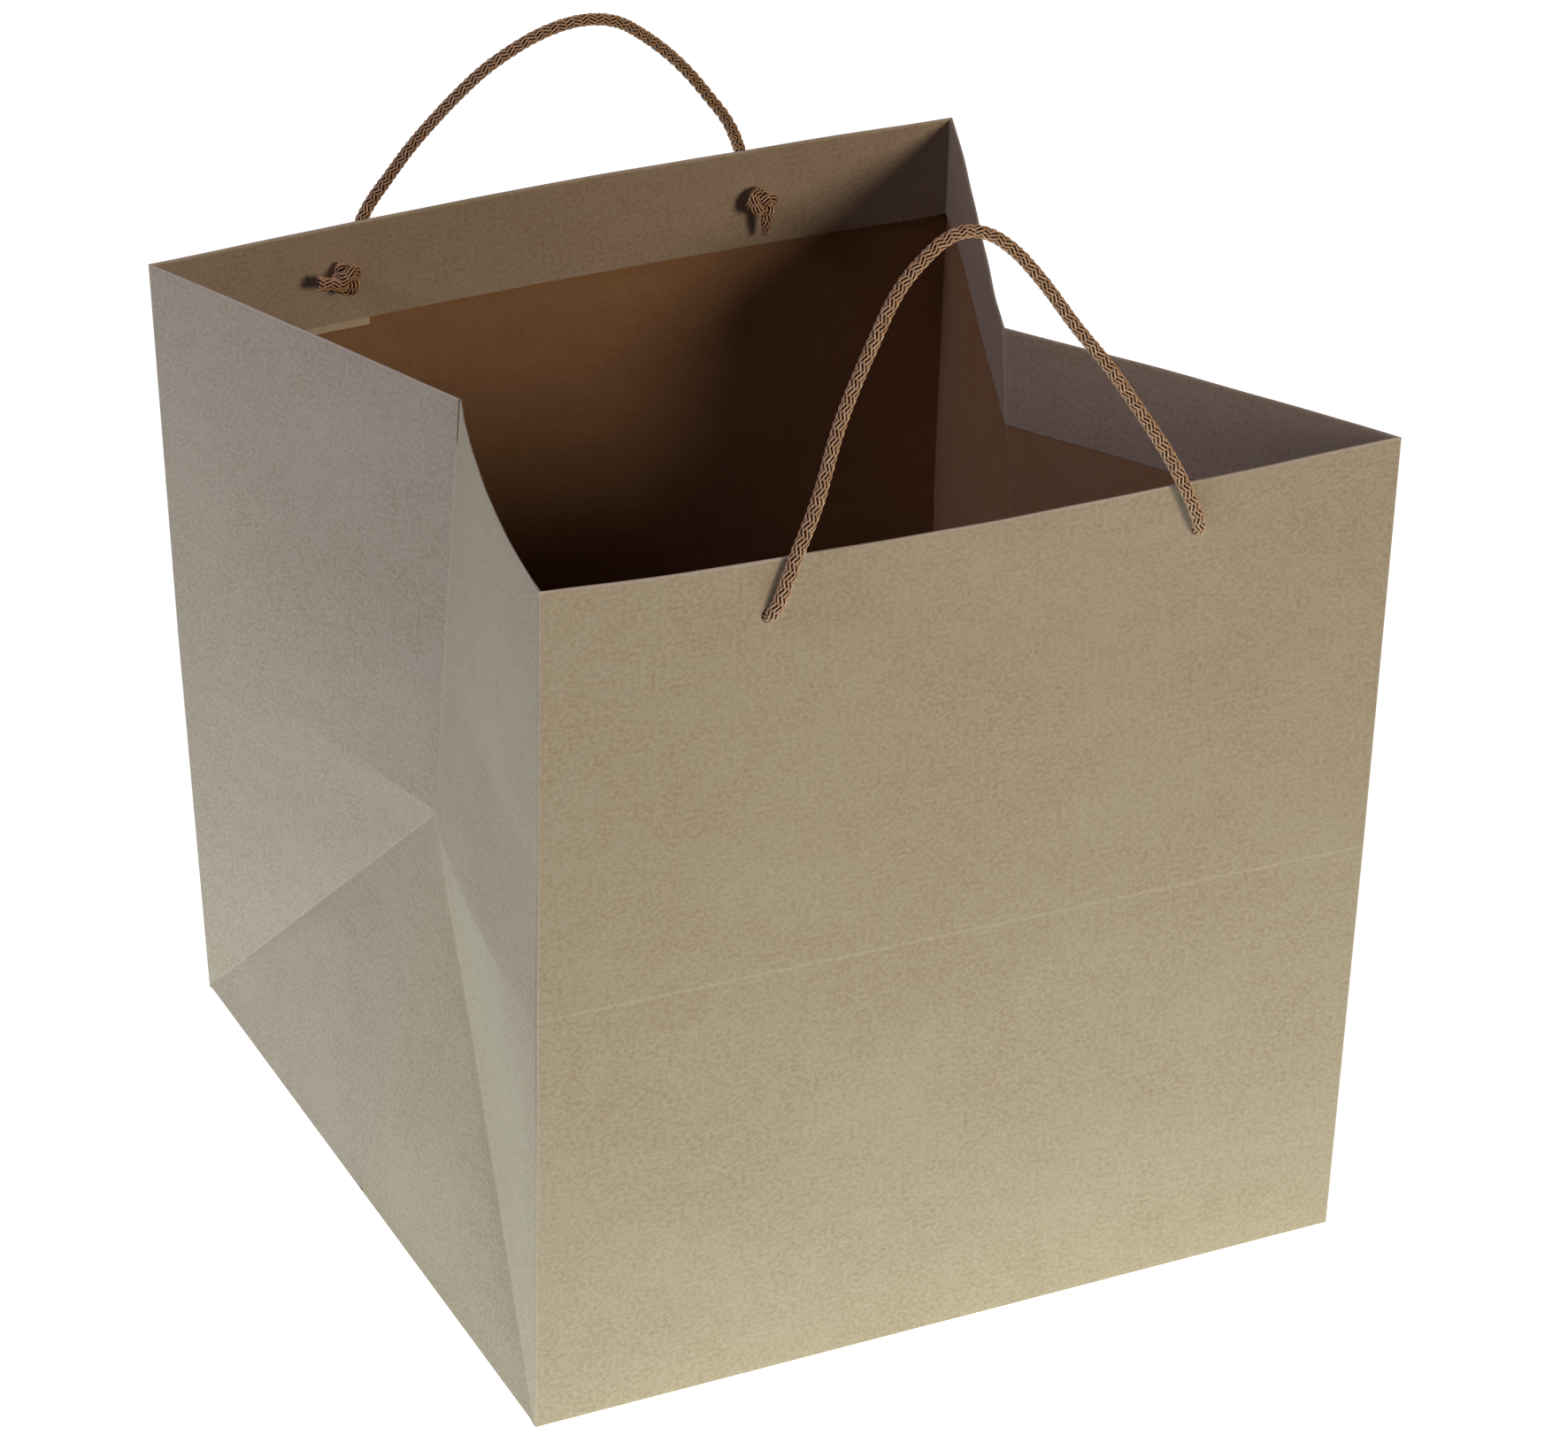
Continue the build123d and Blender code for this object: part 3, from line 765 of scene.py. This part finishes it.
# the side seam: a glued tab inside the back panel at its left edge, and the sheet's end that shows below the hem
SEAM_EDGE = LEFT * SIDE - 0.9
SEAM_PAPER = 0.35
tab = sheet_grid(
    np.linspace(LEFT * SIDE - 24, SEAM_EDGE, 7), np.linspace(4, RIM - HEM - 2.5, 50), (), inset(0.45))
paper_piece(tab, "seam_tab", ["side_seam_tab"], [edge_paper, inner_paper, edge_paper], SEAM_PAPER)
strip = sheet_grid(
    np.linspace(LEFT * SIDE - 82, SEAM_EDGE, 20), np.linspace(RIM - HEM - 3.1, RIM - HEM + 1.2, 3), (), inset(1.2))
paper_piece(strip, "seam_strip_under_hem", (), [edge_paper] * 3, SEAM_PAPER)

# stiff cards inside the turned hem
CARD = 0.7
CARD_DEPTH = 0.55
for panel, name in ((FRONT, "front"), (BACK, "back")):
    card_runs = [panel * SIDE + v for v in lines(SIDE, HOLE_RUNS[panel], []) if 6 < v < SIDE - 6]
    card_rows = [v for v in lines(RIM, [HOLE_RISE], []) if RIM - HEM + 1 < v < RIM - 2]
    card_holes = [(panel * SIDE + place, HOLE_RISE, lift) for place, lift in zip(HOLE_RUNS[panel], HOLE_LIFT[panel])]
    card = sheet_grid(card_runs, card_rows, card_holes, inset(CARD_DEPTH))
    paper_piece(card, f"{name}_card", [f"{name}_hem_card"], [card_material] * 3, CARD)


# --- folded bottom ---

FLAP_COLUMNS = 25
FLAP_BEVEL = 60.0  # the free corners are cut off over this length
FLAP_FOLD = 0.6  # radius of the fold under the wall
LAYER = PAPER + 0.1  # from one flap to the next that lies on it
INWARD = {FRONT: (0, 1), BACK: (0, -1), LEFT: (1, 0), RIGHT: (-1, 0)}


def flap(name, node, panel, low, half_width, climb_at=None):
    """One bottom flap, from the fold under its wall to its free edge. It may climb a layer over another flap."""
    inward = INWARD[panel]
    sideways = (abs(inward[1]), abs(inward[0]))
    lo, hi = node_box(node)
    reach = abs(np.dot(hi[:2] - lo[:2], inward))
    stations = []
    for k in range(4):
        turn = math.pi / 2 * k / 4
        stations.append((FLAP_FOLD - FLAP_FOLD * math.cos(turn), low + FLAP_FOLD * (1 - math.sin(turn))))
    for depth in [FLAP_FOLD, 3, 8] + list(np.arange(16, reach - 4, 8)) + [reach - 3, reach]:
        climb = 0.0 if climb_at is None else LAYER * float(smooth((depth - climb_at) / 4.0))
        stations.append((depth, low + climb))
    grid = Grid()
    for depth, z in stations:
        trim = max(0.0, depth - (reach - FLAP_BEVEL))
        wide = half_width - trim - (0.5 if depth > 2 else 0.0)
        row = []
        for t in np.linspace(-1, 1, FLAP_COLUMNS):
            wave = 0.12 * noise.noise(Vector((t * 3.0, depth / 60.0, panel * 4.0)))
            row.append(np.array((
                inward[0] * (-HALF + depth) + sideways[0] * t * wide,
                inward[1] * (-HALF + depth) + sideways[1] * t * wide,
                z + (max(0.0, wave) if depth >= 5 else 0.0),
            ), float))
        grid.add(row, [(p[0] + 3 * panel * HALF, p[1] + 400.0, 0.0) for p in row])
    flip = sideways[0] * inward[1] - sideways[1] * inward[0] > 0
    for j in range(len(stations) - 1):
        for i in range(FLAP_COLUMNS - 1):
            v = j * FLAP_COLUMNS + i
            quad = (v, v + 1, v + FLAP_COLUMNS + 1, v + FLAP_COLUMNS)
            grid.faces.append(quad[::-1] if flip else quad)
    paper_piece(grid, name, [node])
    return reach


front_reach = flap("front_flap", "bottom_front_flap", FRONT, 0.0, HALF - 0.4)
flap("rear_flap", "bottom_rear_flap", BACK, 0.0, HALF - 0.4, climb_at=SIDE - front_reach - 6)
flap("left_flap", "bottom_left_flap", LEFT, 2 * LAYER, HALF - 3.0)
flap("right_flap", "bottom_right_flap", RIGHT, 2 * LAYER, HALF - 3.0)


def board_material():
    """Grey base board: pulp specks over a soft mottle, in object space."""
    m = Nodes("grey_base_board")
    place = m.add("ShaderNodeTexCoord").outputs["Object"]
    mottle = m.noise(place, 260.0, 4.0, 0.6)
    cloud = m.noise(place, 14.0, 3.0, 0.5)
    speck = m.noise(m.scaled(place, (1.0, 2.2, 1.0), 0.5), 900.0, 2.0, 0.5)
    color = m.mix(m.clamp_map(mottle, 0.35, 0.7), (0.40, 0.30, 0.19, 1), (0.32, 0.23, 0.14, 1))
    color = m.mix(m.clamp_map(cloud, 0.35, 0.7, 0.0, 0.4), color, (0.45, 0.35, 0.24, 1))
    color = m.mix(m.clamp_map(speck, 0.68, 0.78, 0.0, 0.6), color, (0.20, 0.16, 0.12, 1))
    return m.surface(color, 0.8, m.bump(mottle, 0.3, 0.0001), 0.2)


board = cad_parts["base_board"]
board.data.materials.clear()
board.data.materials.append(board_material())


# --- braided ropes ---

ROPE_RADIUS = 2.5
ROPE_STEP = 0.65  # spacing of the rope's samples
STRANDS = 9  # in each direction
BRAID_PITCH = 26.0
STRAND_SIDES = 5
STRAND_WIDE = 0.31  # half width of a strand
STRAND_THICK = 0.26
STRAND_SINK = 0.56  # from the rope's radius to the middle of a strand
WEAVE = 0.30  # how far strands pass over and under that
CORE_SINK = 1.15
CORE_SIDES = 12
STANDOFF = 2.9  # from the wall to the rope's middle


def between(t, t0, t1, p0, p1):
    return (t1 - t) / (t1 - t0) * p0 + (t - t0) / (t1 - t0) * p1


def curve_through(points, step):
    """A smooth path through control points, sampled at an even step."""
    p = np.array(points, float)
    p = np.vstack([2 * p[0] - p[1], p, 2 * p[-1] - p[-2]])
    fine = []
    for p0, p1, p2, p3 in zip(p, p[1:], p[2:], p[3:]):
        steps = [max(1e-6, np.linalg.norm(b - a) ** 0.5) for a, b in ((p0, p1), (p1, p2), (p2, p3))]
        t0, t1, t2, t3 = 0.0, *np.cumsum(steps)
        for t in np.linspace(t1, t2, 24, endpoint=False):
            a1 = between(t, t0, t1, p0, p1)
            a2 = between(t, t1, t2, p1, p2)
            a3 = between(t, t2, t3, p2, p3)
            b1 = between(t, t0, t2, a1, a2)
            b2 = between(t, t1, t3, a2, a3)
            fine.append(between(t, t1, t2, b1, b2))
    fine.append(p[-2])
    fine = np.array(fine)
    lengths = np.concatenate([[0], np.cumsum(np.linalg.norm(np.diff(fine, axis=0), axis=1))])
    count = int(round(lengths[-1] / step)) + 1
    s = np.linspace(0, lengths[-1], count)
    path = np.stack([np.interp(s, lengths, fine[:, k]) for k in range(3)], 1)
    # a light relaxation takes the kinks out where pieces of the path meet
    for _ in range(4):
        path[1:-1] = 0.5 * path[1:-1] + 0.25 * (path[:-2] + path[2:])
    return path, s


def path_frames(path):
    """Untwisted cross directions along a path."""
    tangent = normed(np.gradient(path, axis=0))
    normal = np.zeros_like(path)
    first = np.cross(tangent[0], (0.3, 0.5, 0.8))
    normal[0] = first / np.linalg.norm(first)
    for i in range(1, len(path)):
        n = normal[i - 1] - tangent[i] * np.dot(normal[i - 1], tangent[i])
        normal[i] = n / np.linalg.norm(n)
    return normal, np.cross(tangent, normal)


def braid(name, path, s, frames, lo, hi, girth):
    """Braided tube over samples lo..hi of a path: flat strands that pass over and under each other, round a core
    painted in full shade."""
    normal, binormal = (f[lo:hi + 1] for f in frames)
    centre = path[lo:hi + 1]
    along = s[lo:hi + 1]
    size = girth[lo:hi + 1]
    count = len(centre)
    verts, faces, coords = [], [], []
    crossing = 2 * STRANDS * along / BRAID_PITCH
    ring = np.arange(STRAND_SIDES) * 2 * math.pi / STRAND_SIDES
    base = 0
    rng = np.random.default_rng(len(name) * 7 + lo)
    for hand in (1, -1):
        for k in range(STRANDS):
            theta = 2 * math.pi * k / STRANDS + hand * 2 * math.pi * along / BRAID_PITCH
            weave = hand * np.cos(math.pi / 2 * (crossing - 0.5))
            radial = (ROPE_RADIUS - STRAND_SINK + WEAVE * weave) * size
            out = normal * np.cos(theta)[:, None] + binormal * np.sin(theta)[:, None]
            axis = centre + out * radial[:, None]
            direction = normed(np.gradient(axis, axis=0))
            lateral = normed(np.cross(direction, out))
            outward = np.cross(lateral, direction)
            half_wide = STRAND_WIDE * (0.9 + 0.2 * rng.random())
            points = (
                axis[:, None, :]
                + lateral[:, None, :] * (half_wide * np.cos(ring))[None, :, None] * size[:, None, None]
                + outward[:, None, :] * (STRAND_THICK * np.sin(ring))[None, :, None] * size[:, None, None]
            )
            verts.append(points.reshape(-1, 3))
            # every strand has its own place in the fibre pattern, and is painted in shade where it passes under
            coords.append(np.stack([
                np.repeat(along, STRAND_SIDES) + 37.0 * k + 11.0 * hand,
                np.tile(half_wide * np.cos(ring), count) + 5.0 * k,
                np.repeat(np.clip(0.30 - 0.62 * weave, 0, 0.9), STRAND_SIDES),
            ], 1))
            faces += tube_faces(base, count, STRAND_SIDES)
            base += count * STRAND_SIDES
    ring = np.arange(CORE_SIDES) * 2 * math.pi / CORE_SIDES
    out = normal[:, None, :] * np.cos(ring)[None, :, None] + binormal[:, None, :] * np.sin(ring)[None, :, None]
    core = centre[:, None, :] + (ROPE_RADIUS - CORE_SINK) * size[:, None, None] * out
    verts.append(core.reshape(-1, 3))
    # the core is painted in full shade, for the dark gaps between the strands
    coords.append(np.stack([
        np.repeat(along, CORE_SIDES), np.tile(ring, count), np.ones(count * CORE_SIDES)], 1))
    faces += tube_faces(base, count, CORE_SIDES)
    mesh = bpy.data.meshes.new(name)
    mesh.from_pydata((np.vstack(verts) * MM).tolist(), [], faces)
    attr = mesh.attributes.new("strand", "FLOAT_VECTOR", "POINT")
    attr.data.foreach_set("vector", np.vstack(coords).astype(np.float32).ravel())
    mesh.update()
    obj = link(mesh, name, [rope_fibre])
    return obj


def tube_faces(base, count, sides):
    """Faces of a closed tube whose rings follow each other in the vertex list."""
    faces = []
    for i in range(count - 1):
        for j in range(sides):
            a = base + i * sides + j
            b = base + i * sides + (j + 1) % sides
            faces.append((a, b, b + sides, a + sides))
    faces.append(tuple(base + j for j in reversed(range(sides))))
    faces.append(tuple(base + (count - 1) * sides + j for j in range(sides)))
    return faces


KNOT_BIG, KNOT_SMALL, KNOT_DEEP = 3.0, 1.75, 2.5
KNOT_OPEN = 0.36  # the part of the turn left out where the rope enters and leaves, in radians
KNOT_MIDDLE = 5.4  # from the hem to the knot's middle
TAIL_TURN = math.radians(-20)


def knot_points(origin, into, across, up, spin, tail):
    """Overhand knot on the inside of the wall: control points from the tail's tip to the hole."""
    local = []
    for t in np.linspace(KNOT_OPEN, 2 * math.pi - KNOT_OPEN, 26):
        radius = KNOT_BIG + KNOT_SMALL * math.cos(3 * t)
        local.append((radius * math.cos(2 * t), radius * math.sin(2 * t), KNOT_DEEP * math.sin(3 * t) + KNOT_MIDDLE))
    first = np.array(local[0])
    # the tail leaves across the knot, a little to one side of its middle
    radial = first[:2] / np.linalg.norm(first[:2])
    c, d = math.cos(TAIL_TURN), math.sin(TAIL_TURN)
    away = np.array((radial[0] * c - radial[1] * d, radial[0] * d + radial[1] * c, -0.1))
    tips = [first + away * d - np.array((0, 0, 0.09 * d)) for d in (tail, tail * 0.66, tail * 0.33)]
    local = tips + local + [(0.9, -0.9, 1.6), (0, 0, -0.2)]
    c, d = math.cos(spin), math.sin(spin)
    return [origin + across * (c * x - d * y) + up * (d * x + c * y) + into * z for x, y, z in local]


HOLES = {}
for panel, places in HOLE_RUNS.items():
    for place, lift in zip(places, HOLE_LIFT[panel]):
        run = np.array([panel * SIDE + place])
        rise = np.array([HOLE_RISE + lift])
        n, up, _ = sheet_frame(run, rise)
        spot = sheet_point(run, rise)[0]
        HOLES[(panel, "left" if spot[0] < 0 else "right")] = (spot, n[0], up[0])

# each loop's wall, its lean in degrees, and its path as shares of the way from the left hole to the right one
# with millimetres of rope height
LOOPS = {
    "front": (FRONT, 17.0, [
        (0.018, 6.5), (0.047, 19), (0.107, 37), (0.175, 61), (0.262, 84), (0.338, 101), (0.41, 110.5),
        (0.458, 114.6), (0.503, 115.6), (0.552, 113), (0.602, 106.5), (0.658, 95), (0.726, 78), (0.788, 64),
        (0.845, 49), (0.905, 32), (0.948, 18), (0.982, 6.5)]),
    "back": (BACK, 25.0, [
        (0.038, 8), (0.079, 22), (0.116, 37), (0.152, 51), (0.188, 62), (0.233, 74), (0.283, 85), (0.332, 92.5),
        (0.390, 99), (0.455, 102.8), (0.518, 103.0), (0.582, 99.3), (0.650, 90.5), (0.730, 77.5), (0.797, 64.5),
        (0.860, 50.5), (0.922, 36), (0.966, 22), (0.99, 8)]),
}
# how each knot is turned, in degrees, and the length of its tail
TAILS = {
    ("front", "left"): (-125, 9.0), ("front", "right"): (-110, 10.0),
    ("back", "left"): (-213, 7.5), ("back", "right"): (-111, 9.5),
}
LEAN_START = 23.0  # rope height where the lean begins
LOOP_STRETCH = 1.02
CUT_RISE = 14.5  # the rope ends and the loop meet this far above the common row of holes
TIGHT = 0.95  # girth of the cord where it is knotted
# cut ends: how much of the girth the left one gains and the right one loses, and over what length
FRAYED, FRAYED_LENGTH = 0.16, 8.0
DRAWN, DRAWN_LENGTH = 0.45, 6.0


def rope_control(side):
    """Control points of one whole handle, from its left tail to its right one, and its two holes."""
    panel, lean, shape = LOOPS[side]
    lean = math.radians(lean)
    knots = []
    for hand in ("left", "right"):
        spot, n, up = HOLES[(panel, hand)]
        into = -n
        across = np.cross(up, into)
        across /= np.linalg.norm(across)
        spin, tail = TAILS[(side, hand)]
        origin = spot + into * (WALL_HEM_GAP + 0.3)
        knots.append(knot_points(origin, into, across, up, math.radians(spin), tail))
    (a, na, ua), (b, nb, ub) = HOLES[(panel, "left")], HOLES[(panel, "right")]
    # through the left hole, up its leg, over the loop, and down through the right hole
    points = list(knots[0]) + [a - na * 0.8 - ua * 0.3, a + na * 1.4 + ua * 0.8 + (b - a) * 0.004]
    for share, height in shape:
        spot = a * (1 - share) + b * share
        n = na * (1 - share) + nb * share
        up = ua * (1 - share) + ub * share
        over = LOOP_STRETCH * max(0.0, height - LEAN_START)
        p = spot + n * STANDOFF + up * min(height, LEAN_START)
        p = p + np.array((0, -math.copysign(1, n[1]) * over * math.sin(lean), over * math.cos(lean)))
        points.append(p)
    points += [b + nb * 1.4 + ub * 0.8 - (b - a) * 0.004, b - nb * 0.8 - ub * 0.3] + list(reversed(knots[1]))
    return points, {"left": (a, na, ua), "right": (b, nb, ub)}


def rope_girth(path, s, holes):
    """The cord's girth along its path, as a share of its usual one."""
    girth = np.ones(len(path))
    for spot, n, _ in holes.values():
        girth = np.where(((path - spot) @ n) < -1.0, TIGHT, girth)
    for _ in range(6):
        girth[1:-1] = (girth[:-2] + girth[1:-1] + girth[2:]) / 3
    frayed = 1 + FRAYED * unit(1 - s / FRAYED_LENGTH)
    drawn = 1 - DRAWN * unit(1 - (s[-1] - s) / DRAWN_LENGTH)
    return girth * frayed * drawn


for side in ("front", "back"):
    points, holes = rope_control(side)
    path, s = curve_through(points, ROPE_STEP)
    frames = path_frames(path)
    girth = rope_girth(path, s, holes)
    outside = [i for i in range(len(path)) if path[i][2] > RIM + 6]
    lo = next(i for i in range(outside[0], 0, -1) if path[i][2] < HOLE_RISE + CUT_RISE)
    hi = next(i for i in range(outside[-1], len(path)) if path[i][2] < HOLE_RISE + CUT_RISE)
    left_end = braid(f"{side}_left_rope_end", path, s, frames, 0, lo, girth)
    loop = braid(f"{side}_rope", path, s, frames, lo, hi, girth)
    right_end = braid(f"{side}_right_rope_end", path, s, frames, hi, len(path) - 1, girth)
    for hand, piece in (("left", left_end), ("right", right_end)):
        spot, n, up = holes[hand]
        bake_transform(piece)
        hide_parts(f"{side}_{hand}_knot", f"{side}_{hand}_rope_leg")
    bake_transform(loop)
    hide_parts(f"{side}_rope_loop")


# --- floor, light and camera ---

# the studio: a dim room, floor glow near and far, a key from the front right, a lift from the left, and a low
# lamp behind. Each has its strength (watts for the lamps) and its colour.
SKY, SKY_TINT = 0.012, (1, 0.95, 0.9)
GLOW_NEAR, NEAR_TINT = 1.28, (0.90, 1.0, 0.94)
GLOW_WIDE, WIDE_TINT = 0.28, (0.26, 0.68, 1)
LAMPS = {
    "key": (35.0, (1, 0.785, 0.60), (68, 17.5)),
    "left_high": (22.5, (0.95, 0.82, 1), (175, 38)),
    "back_low": (12.0, (1, 0.84, 0.72), (-75, 12)),
}
LAMP_DISTANCE = 3.0
LAMP_AIM = Vector((0, 0, 0.16))
FLOOR_SPAN = 8.0
FLOOR_DROP = 0.0002  # keeps the floor just under the bag
GLOW_SHIFT = (0.0, -0.08, 0.0)
PALE_ROOM = (0.94, 0.94, 0.94, 1)


def floor_material():
    """Plain pale floor, which throws light back up at the bag, most of it from close by."""
    m = Nodes("pale_floor")
    place = m.add("ShaderNodeTexCoord").outputs["Object"]
    soft = m.clamp_map(m.noise(place, 1.5, 2.0, 0.5), 0.3, 0.7, 0.93, 0.95)
    color = m.add("ShaderNodeCombineColor", {0: soft, 1: soft, 2: soft}).outputs[0]
    diffuse = m.add("ShaderNodeBsdfDiffuse", {"Color": color}).outputs[0]
    shifted = m.add("ShaderNodeVectorMath", {0: place, 1: GLOW_SHIFT}, operation="ADD").outputs[0]
    distance = m.add("ShaderNodeVectorMath", {0: shifted}, operation="LENGTH").outputs["Value"]
    near = m.times(m.clamp_map(distance, 0.30, 0.80, 1.0, 0.0), GLOW_NEAR)
    wide = m.times(m.clamp_map(distance, 1.0, 4.0, 1.0, 0.3), GLOW_WIDE)

    def glow(tint, strength):
        return m.add("ShaderNodeEmission", {"Color": (*tint, 1), "Strength": strength}).outputs[0]

    def both(a, b):
        return m.add("ShaderNodeAddShader", {0: a, 1: b}).outputs[0]

    thrown = both(both(glow(NEAR_TINT, near), glow(WIDE_TINT, wide)), diffuse)
    shown = both(diffuse, glow((1, 1, 1), 0.9))
    seen = m.add("ShaderNodeLightPath").outputs["Is Camera Ray"]
    mix = m.add("ShaderNodeMixShader", {0: seen, 1: thrown, 2: shown}).outputs[0]
    m.tree.links.new(mix, m.out.inputs["Surface"])
    return m.material


scene = bpy.context.scene
floor_mesh = bpy.data.meshes.new("floor")
floor_mesh.from_pydata([(x * FLOOR_SPAN, y * FLOOR_SPAN, 0) for x, y in CORNERS.values()], [], [(0, 1, 2, 3)])
floor_mesh.materials.append(floor_material())
floor = bpy.data.objects.new("floor", floor_mesh)
scene.collection.objects.link(floor)
floor.location.z = cad_box[0][2] - FLOOR_DROP

# the room is seen pale and gives almost no light of its own
world = bpy.data.worlds.new("studio")
scene.world = world
world.use_nodes = True
room = world.node_tree
dim = room.nodes["Background"]
dim.inputs["Color"].default_value = (*SKY_TINT, 1)
dim.inputs["Strength"].default_value = SKY
pale = room.nodes.new("ShaderNodeBackground")
pale.inputs["Color"].default_value = PALE_ROOM
seen = room.nodes.new("ShaderNodeLightPath")
choice = room.nodes.new("ShaderNodeMixShader")
for k, source in enumerate((seen.outputs["Is Camera Ray"], dim.outputs[0], pale.outputs[0])):
    room.links.new(source, choice.inputs[k])
room.links.new(choice.outputs[0], room.nodes["World Output"].inputs["Surface"])


def toward(azimuth, elevation):
    """Direction from the bag: azimuth in degrees from the right-hand side towards the front."""
    a, e = math.radians(azimuth), math.radians(elevation)
    return Vector((math.cos(a) * math.cos(e), -math.sin(a) * math.cos(e), math.sin(e)))


for name, (power, tint, direction) in LAMPS.items():
    lamp = bpy.data.lights.new(name, "AREA")
    lamp.shape = "DISK"
    lamp.size = 1.0
    lamp.energy = power
    lamp.color = tint
    obj = bpy.data.objects.new(name, lamp)
    d = toward(*direction).normalized()
    obj.location = LAMP_AIM + d * LAMP_DISTANCE
    obj.rotation_euler = d.to_track_quat("Z", "Y").to_euler()
    scene.collection.objects.link(obj)

# the camera looks down on the bag from its front left; its axes and place in metres
CAMERA_RIGHT = (0.89969977, -0.43569213, 0.02669623)
CAMERA_UP = (0.18836851, 0.44269496, 0.87666326)
CAMERA_BACK = (-0.39377357, -0.78370501, 0.48036323)
CAMERA_PLACE = (-0.79822207, -1.6064358, 1.14978272)
camera_data = bpy.data.cameras.new("camera")
camera = bpy.data.objects.new("camera", camera_data)
scene.collection.objects.link(camera)
scene.camera = camera
camera_data.sensor_fit = "HORIZONTAL"
camera_data.sensor_width = 36.0
camera_data.lens = 127.82
camera_data.clip_start = 0.05
camera_data.clip_end = 60.0
axes = Matrix((CAMERA_RIGHT, CAMERA_UP, CAMERA_BACK)).transposed()
camera.matrix_world = Matrix.Translation(CAMERA_PLACE) @ axes.to_4x4()

scene.view_settings.view_transform = "Standard"
scene.view_settings.look = "None"
